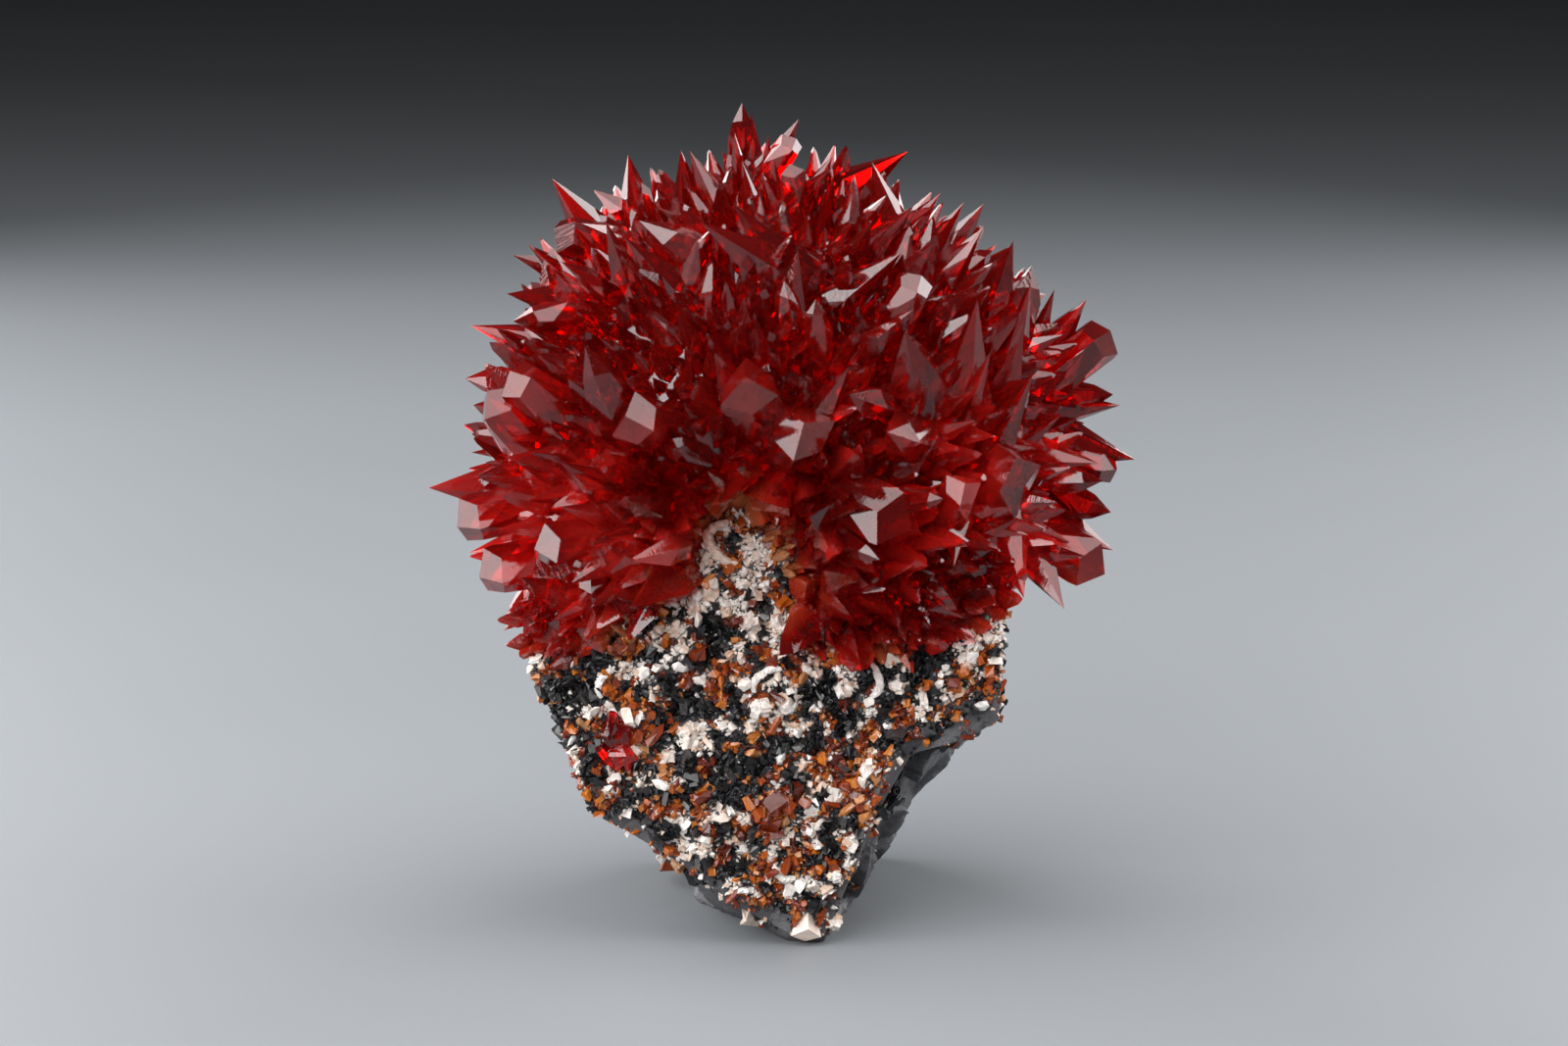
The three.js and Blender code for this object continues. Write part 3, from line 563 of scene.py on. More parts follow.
def grain_material(name, stops, roughness, bump, transmission=0.0, subsurface=0.0, metallic=0.0):
    mat, tree, bsdf = material(name)
    tinted = ramp(tree, attribute(tree, "tint"), stops)
    shades = [(0.3, (0.62, 0.58, 0.55)), (0.7, (1.0, 1.0, 1.0))]
    shade = ramp(tree, noise_value(tree, 1300, 4, 0.6), shades)
    link(tree, mixed(tree, 1.0, tinted, shade, "MULTIPLY"), bsdf.inputs["Base Color"])
    bsdf.inputs["Transmission Weight"].default_value = transmission
    bsdf.inputs["Metallic"].default_value = metallic
    bsdf.inputs["Subsurface Weight"].default_value = subsurface
    bsdf.inputs["Subsurface Radius"].default_value = (0.0010, 0.0007, 0.0005)
    link(tree, spread(tree, noise_value(tree, 1500, 2), *roughness, 0.3, 0.7), bsdf.inputs["Roughness"])
    bumped(tree, bsdf, noise_value(tree, 3200, 4), bump, 0.00012)
    return mat


def calcite_material():
    mat, tree, bsdf = material("calcite")
    stops = [(0.3, (0.5, 0.34, 0.27)), (0.5, (0.72, 0.57, 0.49)), (0.7, (0.82, 0.72, 0.65))]
    link(tree, ramp(tree, noise_value(tree, 420, 5, 0.6), stops), bsdf.inputs["Base Color"])
    bsdf.inputs["Subsurface Weight"].default_value = 0.35
    bsdf.inputs["Subsurface Radius"].default_value = (0.0012, 0.0008, 0.0006)
    link(tree, spread(tree, noise_value(tree, 900, 3), 0.25, 0.5, 0.3, 0.7), bsdf.inputs["Roughness"])
    bumped(tree, bsdf, noise_value(tree, 1600, 5), 0.5, 0.0003)
    return mat


RED = crystal_material()
ROCK = rock_material()
WHITE = grain_material(
    "white_crystals",
    [(0.0, (0.64, 0.42, 0.3)), (0.25, (0.78, 0.66, 0.57)),
     (0.6, (0.86, 0.81, 0.76)), (1.0, (0.9, 0.87, 0.84))],
    (0.25, 0.55), 0.4, subsurface=0.2,
)
ORANGE = grain_material(
    "orange_crystals",
    [(0.0, (0.1, 0.012, 0.006)), (0.3, (0.27, 0.034, 0.008)), (0.6, (0.52, 0.1, 0.011)),
     (0.85, (0.74, 0.22, 0.022)), (1.0, (0.62, 0.33, 0.16))],
    (0.06, 0.28), 0.25, transmission=0.3,
)
BLACK = grain_material(
    "black_crystals",
    [(0.0, (0.007, 0.007, 0.008)), (0.7, (0.018, 0.018, 0.02)), (1.0, (0.09, 0.085, 0.085))],
    (0.07, 0.3), 0.2, metallic=0.35,
)
STAINED = grain_material(
    "stained_crystals",
    [(0.0, (0.3, 0.05, 0.02)), (0.4, (0.55, 0.15, 0.05)),
     (0.8, (0.68, 0.3, 0.13)), (1.0, (0.5, 0.1, 0.04))],
    (0.15, 0.4), 0.3, transmission=0.45,
)
CALCITE = calcite_material()


# Red crystals

def depth_share(points):
    """How far out a place is, 1 on the dome that the tips reach."""
    return np.linalg.norm((points - DOME_CENTRE) / DOME_REACH, axis=-1)


def edge_distance(points):
    """Distance in the front view from the crystals' lower edge."""
    flat = points[:, [0, 2]]
    best = np.full(len(points), np.inf)
    for start, end in zip(CRYSTAL_EDGE[:-1], CRYSTAL_EDGE[1:]):
        run = end - start
        t = np.clip(((flat - start) @ run) / (run @ run), 0, 1)[:, None]
        best = np.minimum(best, np.linalg.norm(flat - start - t * run, axis=1))
    return best


def young_crystal(tip, axis, girth, length, roll, blunt):
    """A point with three sharp and three blunt edges by turns, closed at its root."""
    sides = np.arange(CRYSTAL_SIDES)
    angles = sides * math.pi / 3
    drawn = np.where(sides % 2 == 0, 1.0, BLUNT_EDGE)
    raised = np.where(sides % 2 == 0, GIRDLE_STAGGER, -GIRDLE_STAGGER)
    radius = girth / 2
    girdle = -length * GIRDLE_AT

    def ring(share, z):
        return np.column_stack([
            share * radius * drawn * np.cos(angles),
            share * radius * drawn * np.sin(angles),
            np.broadcast_to(z, CRYSTAL_SIDES),
        ])

    local = np.vstack([
        [[0, 0, girdle * blunt * TIP_ROUND]],
        ring(blunt, girdle * blunt * (1 - raised)),
        ring(1.0, girdle * (1 - raised)),
        ring(ROOT_TAPER, -length - YOUNG_ROOT),
        [[0, 0, -length - YOUNG_ROOT]],
    ])
    top, middle, root = (1 + level * CRYSTAL_SIDES for level in range(3))
    end = len(local) - 1
    following = [(k, (k + 1) % CRYSTAL_SIDES) for k in range(CRYSTAL_SIDES)]
    faces = [(0, top + k, top + n) for k, n in following]
    for upper, lower in ((top, middle), (middle, root)):
        for k, n in following:
            faces.append((upper + k, lower + k, lower + n))
            faces.append((upper + k, lower + n, upper + n))
    faces += [(end, root + n, root + k) for k, n in following]
    return local @ frame_along(axis, roll).T + tip, faces


def is_inside(tree, point):
    """Whether a point lies within the surface of the tree."""
    place, normal, _, _ = tree.find_nearest(point)
    return (Vector(point) - place).dot(normal) < 0


def young_crystals(vertices, triangles):
    """Crystals on the low places between the large ones and on the crust, then small ones on the bare core.

    Each is given as vertices and faces.
    """
    rng = np.random.default_rng(SEED)
    points, normals = sample_surface(vertices, triangles, YOUNG_TRIES, rng)
    outward = unit((points - DOME_CENTRE) / DOME_REACH**2)
    out = unit(outward * YOUNG_SWAY + YOUNG_RISE)
    share = depth_share(points)
    facing = (normals * outward).sum(1)
    crust = (points[:, 1] > FACE_DEPTH) & (normals[:, 1] < CRUST_FRONT)
    crust &= edge_distance(points) < CRUST_REACH
    rock = surface_tree("matrix")
    crust[crust] = [rock.find_nearest(p)[3] < CRUST_GAP for p in points[crust]]
    turned = facing > np.where(share < YOUNG_DEEP, *YOUNG_FACING)
    low = (share < YOUNG_BELOW) & (share > YOUNG_INSIDE) & turned
    crust &= np.hypot(points[:, 0] - CURL_SPOT[0], points[:, 2] - CURL_SPOT[1]) > CURL_ROOM
    core = (share > YOUNG_INSIDE) & (share < CORE_BELOW) & (facing > CORE_FACING) | crust
    seeds = [points[core], out[core] + CORE_SPLAY * normals[core]]
    fit = crust | low
    points, out, normals, share, crust = (a[fit] for a in (points, out, normals, share, crust))
    mass = surface_tree("rhodochrosite")
    made = []
    for k in spaced(points, YOUNG_SPACING):
        room = (YOUNG_TOP - share[k]) * DOME_REACH[0]
        lengths = CRUST_LENGTH if crust[k] else YOUNG_LENGTH
        length = np.clip(room * rng.uniform(*YOUNG_ROOM), *lengths)
        lead = normals[k] + CRUST_OUTWARD * out[k] if crust[k] else out[k] + YOUNG_SPLAY * normals[k]
        axis = unit(lead + rng.normal(0, YOUNG_LEAN, 3))
        girth = length * rng.uniform(*(CRUST_GIRTH if crust[k] else YOUNG_GIRTH))
        draw = rng.random()
        blunt = rng.uniform(*next(limits for chance, limits in YOUNG_BLUNT if draw < chance))
        roll = rng.uniform(0, math.pi)
        if is_inside(mass, points[k] - axis * (CRUST_HOLD if crust[k] else YOUNG_ROOT)):
            made.append(young_crystal(points[k] + axis * length, axis, girth, length, roll, blunt))
    for k in spaced(seeds[0], CORE_SPACING):
        axis = unit(seeds[1][k] + rng.normal(0, YOUNG_LEAN, 3))
        length = rng.uniform(*CORE_LENGTH)
        girth = length * rng.uniform(*CORE_GIRTH)
        tip = seeds[0][k] + axis * length
        roll = rng.uniform(0, math.pi)
        blunt = rng.uniform(*CORE_BLUNT)
        made.append(young_crystal(tip, axis, girth, length, roll, blunt))
    return made


def joined(name, node, crystals):
    """A node's crystals and further ones, joined into one closed surface."""
    piece = new_piece(name, *welded(*mesh_arrays(nodes[node].data)), RED, "rhodochrosite")
    group = bpy.data.collections.new(f"{name}_young")
    for k, (points, faces) in enumerate(crystals):
        mesh = bpy.data.meshes.new(f"{name}_{k}")
        mesh.from_pydata(points.tolist(), [], faces)
        group.objects.link(bpy.data.objects.new(f"{name}_{k}", mesh))
    bpy.context.scene.collection.children.link(group)
    join = piece.modifiers.new("join", "BOOLEAN")
    join.operation = "UNION"
    join.operand_type = "COLLECTION"
    join.collection = group
    join.solver = "MANIFOLD"
    mesh = evaluated_mesh(piece)
    piece.modifiers.clear()
    piece.data = mesh
    for made in list(group.objects):
        bpy.data.objects.remove(made)
    bpy.data.collections.remove(group)
    mesh.materials.clear()
    mesh.materials.append(RED)
    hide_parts(node)
    return piece


def add_crystal_marks(piece):
    """Growth lines across each face, iron stain where the crystals meet the ore, and milkiness."""
    mesh = piece.data
    count = len(mesh.polygons)
    normals = np.empty(count * 3)
    mesh.polygons.foreach_get("normal", normals)
    normals = normals.reshape(-1, 3)
    centres = np.empty(count * 3)
    mesh.polygons.foreach_get("center", centres)
    out = unit((centres.reshape(-1, 3) - DOME_CENTRE) / DOME_REACH**2)
    up = unit(out - (out * normals).sum(1)[:, None] * normals)
    side = np.cross(normals, up)
    phase = np.round(normals * LINES_TURNS) @ LINES_SHIFT
    totals = np.empty(count, np.int32)
    mesh.polygons.foreach_get("loop_total", totals)
    owner = np.repeat(np.arange(count), totals)
    corner = np.empty(len(mesh.loops), np.int32)
    mesh.loops.foreach_get("vertex_index", corner)
    co = np.empty(len(mesh.vertices) * 3)
    mesh.vertices.foreach_get("co", co)
    co = co.reshape(-1, 3)
    place = co[corner]
    stripe = np.column_stack([
        (place * up[owner]).sum(1) * LINES_ALONG,
        (place * side[owner]).sum(1) * LINES_ACROSS,
        phase[owner],
    ])
    layer = mesh.attributes.new("stripe", "FLOAT_VECTOR", "CORNER")
    layer.data.foreach_set("vector", stripe.astype(np.float32).ravel())
    near_ore = 1 - smooth_share(edge_distance(co), 0, STAIN_REACH)
    near_face = smooth_share(co[:, 1], *STAIN_FACE)
    patchy = np.array([noise.noise(p * STAIN_PATCH) for p in map(Vector, co)])
    near_tongue = 1 - STAIN_FADE * smooth_share(np.abs(co[:, 0] - TONGUE_X), *TONGUE_REACH)
    stain = near_ore * near_face * near_tongue * smooth_share(patchy, *STAIN_CLOUDS)
    set_values(mesh, "stain", stain)
    low = 1 - smooth_share(co[:, 2], *MILK_HEIGHT)
    cloudy = np.array([noise.noise(p * MILK_PATCH + MILK_SHIFT) for p in map(Vector, co)])
    milk = (MILK_LEAST + MILK_LOW * low) * smooth_share(cloudy, *MILK_CLOUDS)
    set_values(mesh, "milk", np.maximum(milk, stain))


young = young_crystals(*mesh_arrays(nodes["rhodochrosite"].data))
add_crystal_marks(joined("red_crystals", "rhodochrosite", young))


def stray_crystals():
    """The stray crystals with small ones on them."""
    rng = np.random.default_rng(SEED + 1)
    vertices, triangles = mesh_arrays(nodes["stray_crystals"].data)
    points, normals = sample_surface(vertices, triangles, STRAY_TRIES, rng)
    front = normals[:, 1] < STRAY_FRONT
    points, normals = points[front], normals[front]
    made = []
    for k in spaced(points, STRAY_SPACING)[:STRAY_COUNT]:
        axis = unit(normals[k] + rng.normal(0, STRAY_LEAN, 3))
        length = rng.uniform(*STRAY_LENGTH) * MM
        tip = points[k] + axis * length * STRAY_OUT
        girth = length * rng.uniform(*STRAY_GIRTH)
        roll = rng.uniform(0, ROLL_LIMIT)
        made.append(young_crystal(tip, axis, girth, length, roll, STRAY_BLUNT))
    add_crystal_marks(joined("stray_reds", "stray_crystals", made))


stray_crystals()


# Rock

def chipped(points, rng, size, tilt, step):
    """Heights of a surface broken into flat chips of about the given size."""
    low, high = points.min(0) - size, points.max(0) + size
    count = int(np.prod((high - low) / size))
    centres = rng.uniform(low, high, (count, 3))
    slopes = unit(rng.normal(size=(count, 3))) * tilt
    steps = rng.uniform(-step, step, count)
    tree = KDTree(count)
    for k, centre in enumerate(centres):
        tree.insert(centre, k)
    tree.balance()
    nearest = np.array([tree.find(p)[1] for p in points])
    return ((points - centres[nearest]) * slopes[nearest]).sum(1) + steps[nearest]


def fractured_rock():
    """The rock with a finely divided surface, broken into chips where it is bare."""
    piece = new_piece("ore", *mesh_arrays(nodes["matrix"].data), ROCK, "matrix")
    remesh = piece.modifiers.new("remesh", "REMESH")
    remesh.mode = "VOXEL"
    remesh.voxel_size = ROCK_VOXEL
    mesh = evaluated_mesh(piece)
    piece.modifiers.clear()
    piece.data = mesh
    mesh.materials.clear()
    mesh.materials.append(ROCK)
    points, _ = mesh_arrays(mesh)
    normals = np.array([v.normal for v in mesh.vertices])
    rng = np.random.default_rng(SEED + 2)
    depth = sum(chipped(points, rng, *chip) for chip in CHIPS)
    fine = np.array([noise.fractal(p * ROCK_FINE_SCALE, 1.0, 2.0, 3) for p in map(Vector, points)])
    depth = np.clip(depth, *CHIP_DEPTH) + ROCK_FINE_DEPTH * fine
    covers = surface_tree("rhodochrosite", "druse", "stray_crystals", "calcite_tip")
    gap = np.array([covers.find_nearest(p)[3] for p in points])
    bare = smooth_share(gap, *CHIP_CLEARANCE) * smooth_share(points[:, 2], *BASE_CLEARANCE)
    moved = points + normals * (depth * bare)[:, None]
    moved[:, 2] = np.maximum(moved[:, 2], 0)
    mesh.vertices.foreach_set("co", moved.ravel())
    mesh.shade_smooth()
    mesh.update()
    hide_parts("matrix")
    return piece


ore = fractured_rock()

for name, mat in (("druse", ROCK), ("calcite_tip", CALCITE)):
    nodes[name].data.materials.clear()
    nodes[name].data.materials.append(mat)


# Druse

druse_tree = surface_tree("druse")


def on_druse(x, z):
    """The place and normal on the druse that look to be at x, z from the front."""
    eye = CAMERA_TARGET - VIEW_FORWARD * CAMERA_DISTANCE
    seen = CAMERA_TARGET + Vector((x, 0, 0)) + VIEW_UP * (z - VIEW_TARGET_Z)
    place, normal, _, _ = druse_tree.ray_cast(eye, (seen - eye).normalized())
    if place is None:
        place, normal, _, _ = druse_tree.find_nearest(seen)
    return np.array(place), np.array(normal)


def template(kind):
    """Corner points and triangles of a grain of unit size."""
    made = bmesh.new()
    if kind == "lump":
        bmesh.ops.create_icosphere(made, subdivisions=1, radius=0.55)
    elif kind in ("block", "chip"):
        bmesh.ops.create_cube(made, size=0.9)
        if kind == "block":
            bmesh.ops.bevel(made, geom=made.verts[:], offset=0.16, affect="VERTICES", segments=1)
    elif kind == "prism":
        bmesh.ops.create_cone(made, segments=6, radius1=0.5, radius2=0.36, depth=0.8, cap_ends=True)
        top = [f for f in made.faces if f.normal.z > 0.9]
        poked = bmesh.ops.poke(made, faces=top)
        for v in poked["verts"]:
            v.co.z += 0.32
    else:
        bmesh.ops.create_cone(made, segments=4, radius1=0.5, radius2=0.5, depth=0.7, cap_ends=True)
        for v in made.verts:
            v.co.y *= 1 + 0.5 * v.co.z
    made.verts.index_update()
    points = np.array([v.co for v in made.verts])
    rings = []
    for face in made.faces:
        ring = [v.index for v in face.verts]
        first = ring.index(min(ring))
        rings.append(ring[first:] + ring[:first])
    made.free()
    # Sorted, because bevelled faces come in a different order on each run
    faces = [(ring[0], b, c) for ring in sorted(rings) for b, c in zip(ring[1:], ring[2:])]
    return points, np.array(faces)


TEMPLATES = {kind: template(kind) for kind in ("lump", "block", "chip", "prism", "blade")}


def grains(kind, points, turns, sizes, ragged, rng):
    """Grains of one template at the points: vertices, faces and the grain that each vertex belongs to."""
    corners, faces = TEMPLATES[kind]
    count = len(points)
    local = corners[None] * (1 + rng.normal(0, ragged, (count, len(corners), 1)))
    local = local * sizes[:, None, :]
    vertices = np.einsum("kij,knj->kni", turns, local) + points[:, None, :]
    shifted = faces[None] + len(corners) * np.arange(count)[:, None, None]
    return vertices.reshape(-1, 3), shifted.reshape(-1, 3), np.repeat(np.arange(count), len(corners))


def grain_piece(name, batches, mat, rng):
    """One mesh of several batches of grains, with a tint for each grain."""
    vertices, faces, owners = [], [], []
    start, first = 0, 0
    for points, triangles, owner in batches:
        vertices.append(points)
        faces.append(triangles + start)
        owners.append(owner + first)
        start += len(points)
        first += owner.max() + 1 if len(owner) else 0
    piece = new_piece(name, np.vstack(vertices), np.vstack(faces), mat, "druse")
    set_values(piece.data, "tint", rng.random(first)[np.concatenate(owners)])


def seen_from_front(points):
    """The x and z in mm at which points look to be from the front."""
    away = points - np.array(CAMERA_TARGET)
    nearer = CAMERA_DISTANCE / (CAMERA_DISTANCE + away @ np.array(VIEW_FORWARD))
    return away[:, 0] * nearer / MM, (VIEW_TARGET_Z + away @ np.array(VIEW_UP) * nearer) / MM


def on_crust(points, strewn, rng):
    """Whether each point lies within the crust's edges, or is one of the share strewn past them."""
    x, z = seen_from_front(points)
    wave = CRUST_RAGGED * np.array([noise.noise(p * CRUST_WAVE) for p in map(Vector, points)])
    inside = x + wave < np.interp(z, *zip(*CRUST_RIGHT))
    inside &= z + wave > np.interp(x, *zip(*CRUST_LOW))
    return inside | (rng.random(len(points)) < strewn)


def patch_kinds(points, rng):
    """0, 1 or 2 for white, orange or black, drawn by the patches and the clumps that a point lies in."""
    weights = np.tile(np.array(PATCH_REST) * PATCH_REST_WEIGHT, (len(points), 1))
    seen_x, seen_z = seen_from_front(points)
    for x, z, radius, shares in PATCHES:
        reach = np.hypot(seen_x - x, seen_z - z) / radius
        weights += np.exp(-(reach**2))[:, None] * np.array(shares)
    shifts = [Vector((0, 0, CLUMP_SHIFT * k)) for k in range(3)]
    clumps = [[noise.noise(p * CLUMP_PATCH + shift) for shift in shifts] for p in map(Vector, points)]
    luck = rng.gumbel(size=weights.shape)
    return np.argmax(np.log(weights) + CLUMP_PULL * np.array(clumps) + CLUMP_CHANCE * luck, 1)


def druse_grains():
    """Batches of white, orange and black grains all over the druse, and the generator that drew them."""
    rng = np.random.default_rng(SEED + 3)
    vertices, triangles = mesh_arrays(nodes["druse"].data)
    batches = [[], [], []]
    for tries, spacing, scale in GRAIN_LAYERS:
        points, normals = sample_surface(vertices, triangles, tries, rng)
        strewn = CRUST_STREWN if scale < 1 else 0
        front = (normals[:, 1] < GRAIN_FRONT) & on_crust(points, strewn, rng)
        points, normals = points[front], normals[front]
        keep = spaced(points, spacing)
        points, normals = points[keep], normals[keep]
        kind = patch_kinds(points, rng)
        for k, shapes in enumerate(GRAIN_KINDS):
            for share, (shape, stretch) in zip(GRAIN_FORM_SHARES, shapes):
                mine = (kind == k) & (rng.random(len(points)) < share)
                kind[mine] = -1
                count = mine.sum()
                size = scale * np.minimum(rng.lognormal(0, GRAIN_SPREAD, (count, 1)), GRAIN_LIMIT) * MM
                sizes = size * np.array(stretch) * rng.uniform(*GRAIN_STRETCH, (count, 3))
                lift = normals[mine] * rng.uniform(*GRAIN_LIFT, (count, 1)) * size
                turns = random_turns(count, rng)
                drawn = "chip" if shape == "block" and scale < GRAIN_FINE else shape
                batches[k].append(grains(drawn, points[mine] + lift, turns, sizes, GRAIN_RAGGED, rng))
    return batches, rng


def curl(x, z, radius, first, last, thickness, rng):
    """A lumpy white tube bent into part of a ring on the druse."""
    place, normal = on_druse(x * MM, z * MM)
    facing = frame_along(unit(normal + CURL_TOWARDS), 0)[:, 2]
    side = unit(np.array([1.0, 0, 0]) - facing * facing[0])
    up = np.cross(facing, side) * -1
    up = up if up[2] > 0 else -up
    angles = np.radians(np.linspace(first, last, CURL_SEGMENTS))
    around = np.arange(CURL_SIDES) * 2 * math.pi / CURL_SIDES
    rings = []
    for k, a in enumerate(angles):
        out = math.cos(a) * side + math.sin(a) * up
        centre = place + out * radius * MM * (1 + CURL_WAVE * math.sin(3 * a + x)) + facing * CURL_LIFT
        end = math.sin(math.pi * (k + 0.6) / (CURL_SEGMENTS + 0.2)) ** CURL_ENDS
        thick = thickness / 2 * MM * end * rng.uniform(*CURL_ROUGH, CURL_SIDES)
        circle = np.cos(around)[:, None] * out + np.sin(around)[:, None] * facing
        rings.append(centre + thick[:, None] * circle)
    points = np.vstack(rings)
    faces = []
    for k in range(CURL_SEGMENTS - 1):
        for j in range(CURL_SIDES):
            a, b = k * CURL_SIDES + j, k * CURL_SIDES + (j + 1) % CURL_SIDES
            faces += [(a, b, b + CURL_SIDES), (a, b + CURL_SIDES, a + CURL_SIDES)]
    last_ring = (CURL_SEGMENTS - 1) * CURL_SIDES
    for j in range(1, CURL_SIDES - 1):
        faces.append((0, j + 1, j))
        faces.append((last_ring, last_ring + j, last_ring + j + 1))
    return points, np.array(faces), np.zeros(len(points), int)


def lump(x, z, girth, rng):
    """A cluster of grains that make up one larger lump."""
    place, normal = on_druse(x * MM, z * MM)
    each, axes = (LUMP_GRAINS, 1), (LUMP_GRAINS, 3)
    offsets = unit(rng.normal(size=axes)) * girth * MM * rng.uniform(*LUMP_SPREAD, each)
    offsets -= np.minimum(0, offsets @ normal)[:, None] * normal * LUMP_RAISED
    sizes = girth * MM * rng.uniform(*LUMP_GIRTH, each) * rng.uniform(*LUMP_STRETCH, axes)
    return grains("block", place + offsets, random_turns(LUMP_GRAINS, rng), sizes, LUMP_RAGGED, rng)


def sheaf(x, z, span, angle, count, rng):
    """Black blades fanned out from one place."""
    place, normal = on_druse(x * MM, z * MM)
    lean = math.radians(angle)
    lead = np.array([math.cos(lean), SHEAF_TOWARDS, math.sin(lean)])
    points = place + rng.normal(0, span / 3, (count, 3)) * SHEAF_FLAT * MM + normal * SHEAF_LIFT * MM
    turns = []
    for _ in range(count):
        axis = unit(lead + rng.normal(0, SHEAF_SPLAY, 3))
        turns.append(frame_along(axis, rng.uniform(0, ROLL_LIMIT)))
    sizes = BLADE_SIZE * rng.uniform(*BLADE_STRETCH, (count, 3))
    return grains("blade", points, np.array(turns), sizes, BLADE_RAGGED, rng)


def rock_grains(rng):
    """Grains strewn on the bare rock beside the druse and the crystals, in batches of the three colours."""
    vertices, triangles = mesh_arrays(ore.data)
    points, _ = sample_surface(vertices, triangles, ROCK_GRAIN_TRIES, rng)
    covers = surface_tree("druse", "rhodochrosite")
    gap = np.array([covers.find_nearest(p)[3] for p in points])
    patch = np.array([noise.noise(p * ROCK_GRAIN_PATCH) for p in map(Vector, points)])
    chance = np.exp(-gap / ROCK_GRAIN_REACH) + smooth_share(patch, *ROCK_GRAIN_CLOUDS) * ROCK_GRAIN_RARE
    chance[(points[:, 0] > BARE_FLANK[0]) & (points[:, 2] < BARE_FLANK[1])] *= BARE_CHANCE
    points = points[(rng.random(len(points)) < chance) & (points[:, 2] > BASE_CLEARANCE[1])]
    points = points[spaced(points, ROCK_GRAIN_SPACING)]
    kinds = np.searchsorted(np.cumsum(ROCK_GRAIN_SHARES), rng.random(len(points)))
    batches = []
    for kind in range(3):
        mine = points[kinds == kind]
        count = len(mine)
        size = rng.lognormal(0, ROCK_GRAIN_SPREAD, (count, 1)) * ROCK_GRAIN_SIZE
        sizes = size * rng.uniform(*ROCK_GRAIN_STRETCH, (count, 3))
        batches.append(grains("block", mine, random_turns(count, rng), sizes, GRAIN_RAGGED, rng))
    return batches


def druse_pieces():
    """The white, orange and black pieces, each with its grains, curls, lumps or blades."""
    (white, orange, black), rng = druse_grains()
    white += [curl(*row, rng) for row in CURLS]
    for x, z, girth, kind in LUMPS:
        (white if kind == "white" else orange).append(lump(x, z, girth, rng))
    black += [sheaf(*row, rng) for row in SHEAVES]
    for batch, strewn in zip((white, orange, black), rock_grains(rng)):
        batch.append(strewn)
    grain_piece("white_grains", white, WHITE, rng)
    grain_piece("orange_grains", orange, ORANGE, rng)
    grain_piece("black_grains", black, BLACK, rng)


def stained_fibres():
    """Thin stained crystals that splay from the ore's edge over the foot of the red ones."""
    rng = np.random.default_rng(SEED + 4)
    batch_points, axes = [], []
    for start, end in zip(CRYSTAL_EDGE[:-1], CRYSTAL_EDGE[1:]):
        run = end - start
        across = np.array([-run[1], run[0]]) / np.linalg.norm(run)
        for t in np.arange(0, 1, FIBRE_STEP / np.linalg.norm(run)):
            for _ in range(FIBRE_PAIR):
                x, z = start + t * run + across * rng.uniform(*FIBRE_ACROSS) * MM
                if not FIBRE_SPAN[0] < x < FIBRE_SPAN[1]:
                    continue
                place = on_druse(x, z)[0]
                lead = np.array([across[0], -rng.uniform(*FIBRE_FORWARD), across[1]])
                batch_points.append(place)
                axes.append(unit(lead + rng.normal(0, FIBRE_SPLAY, 3)))
    count = len(batch_points)
    length = rng.uniform(*FIBRE_LENGTH, count)
    girth = rng.uniform(*FIBRE_GIRTH, count)
    turns = np.array([frame_along(a, r) for a, r in zip(axes, rng.uniform(0, ROLL_LIMIT, count))])
    points = np.array(batch_points) + np.array(axes) * length[:, None] * FIBRE_OUT
    sizes = np.column_stack([girth, girth, length])
    fibres = grains("prism", points, turns, sizes, FIBRE_RAGGED, rng)
    grain_piece("stained_fibres", [fibres], STAINED, rng)


druse_pieces()
stained_fibres()


# Studio

def aim(obj, place, target):
    obj.location = place
    obj.rotation_euler = (Vector(target) - Vector(place)).to_track_quat("-Z", "Y").to_euler()


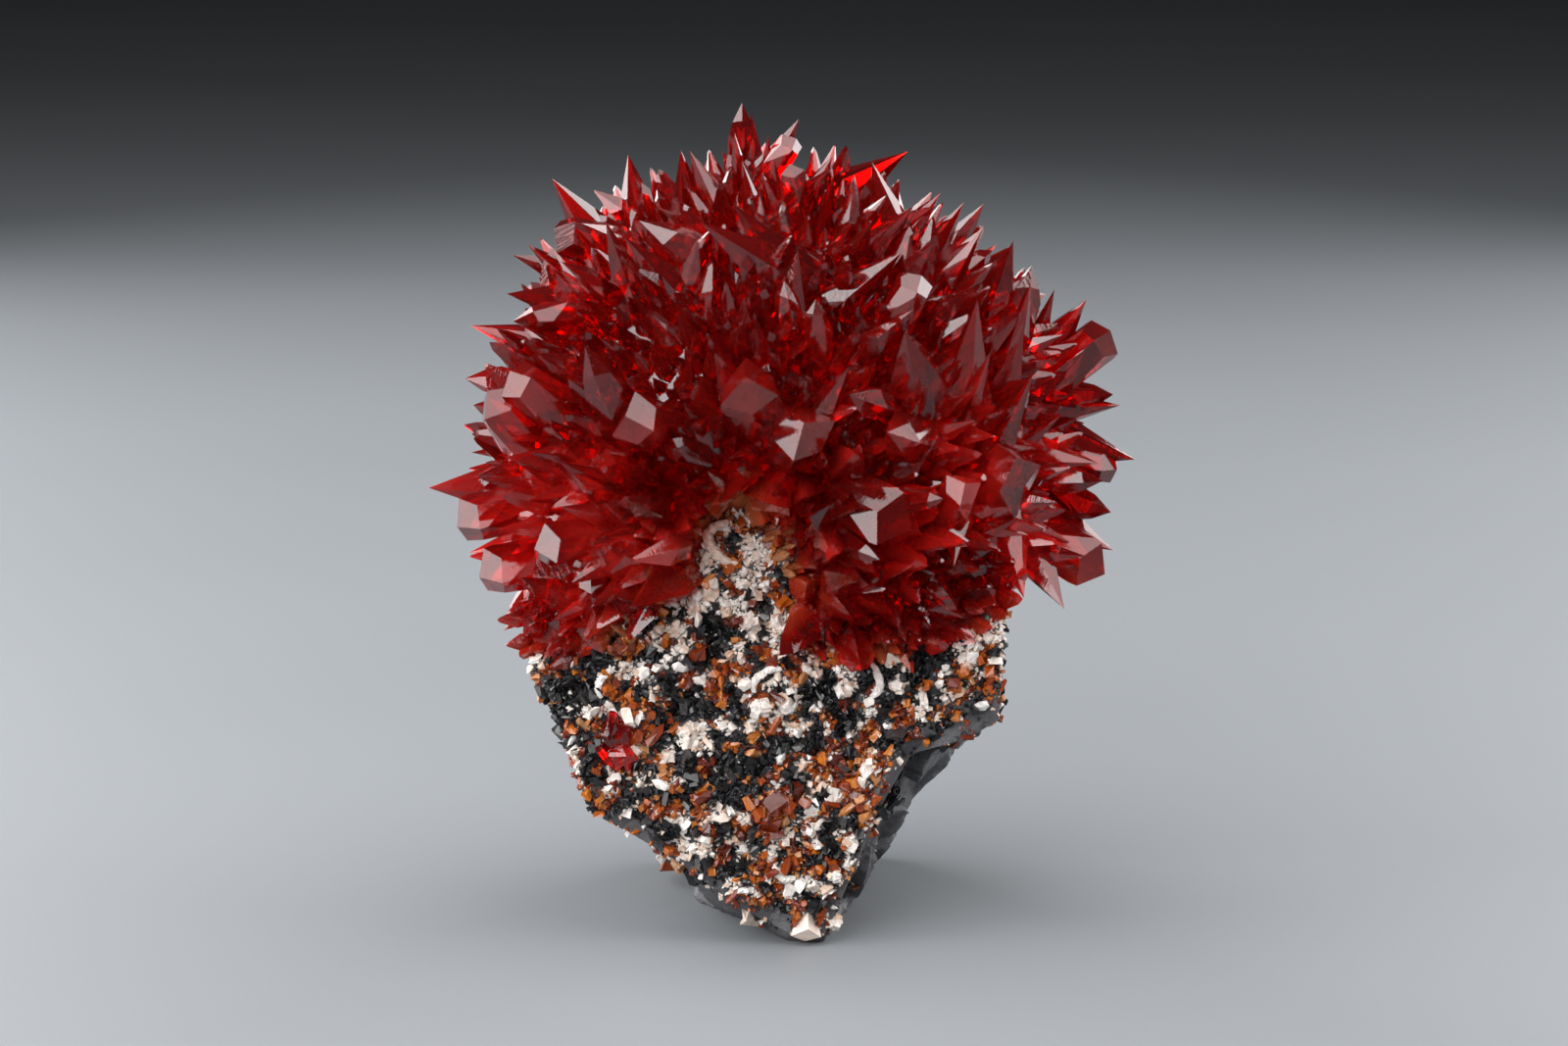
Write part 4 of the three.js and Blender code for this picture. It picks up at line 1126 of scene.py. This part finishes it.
def softbox(name, place, size, radiance):
    """A rectangular light whose brightness is given as radiance."""
    light = bpy.data.lights.new(name, "AREA")
    light.shape = "RECTANGLE"
    light.size, light.size_y = size
    light.energy = radiance * math.pi * size[0] * size[1]
    obj = bpy.data.objects.new(name, light)
    bpy.context.scene.collection.objects.link(obj)
    aim(obj, place, LIGHT_TARGET)


def floor_sweep():
    """A pale floor that bends up into a backdrop."""
    mat, tree, bsdf = material("floor")
    link(tree, ramp(tree, noise_value(tree, 3, 2), FLOOR_TONES), bsdf.inputs["Base Color"])
    bsdf.inputs["Roughness"].default_value = FLOOR_ROUGHNESS
    profile = [(FLOOR_FRONT, 0.0), (FLOOR_BACK, 0.0)]
    for a in np.linspace(0.1, math.pi / 2, FLOOR_STEPS):
        profile.append((FLOOR_BACK + FLOOR_BEND * math.sin(a), FLOOR_BEND - FLOOR_BEND * math.cos(a)))
    profile.append((FLOOR_BACK + FLOOR_BEND, FLOOR_TOP))
    vertices = [(x, y, z) for y, z in profile for x in (-FLOOR_HALF, FLOOR_HALF)]
    faces = [(2 * k, 2 * k + 1, 2 * k + 3, 2 * k + 2) for k in range(len(profile) - 1)]
    mesh = bpy.data.meshes.new("floor")
    mesh.from_pydata(vertices, [], faces)
    mesh.materials.append(mat)
    mesh.shade_smooth()
    floor = bpy.data.objects.new("floor", mesh)
    bpy.context.scene.collection.objects.link(floor)


def studio():
    camera = bpy.data.objects.new("camera", bpy.data.cameras.new("camera"))
    camera.data.lens = CAMERA_LENS
    camera.data.sensor_width = CAMERA_SENSOR
    camera.data.clip_start = 0.01
    bpy.context.scene.collection.objects.link(camera)
    aim(camera, CAMERA_TARGET - VIEW_FORWARD * CAMERA_DISTANCE, CAMERA_TARGET)
    bpy.context.scene.camera = camera
    floor_sweep()
    for row in SOFTBOXES:
        softbox(*row)
    world = bpy.data.worlds.new("studio")
    world.use_nodes = True
    background = world.node_tree.nodes["Background"]
    background.inputs["Color"].default_value = WORLD_COLOUR
    background.inputs["Strength"].default_value = WORLD_STRENGTH
    bpy.context.scene.world = world
    bpy.context.scene.view_settings.view_transform = "Standard"


studio()
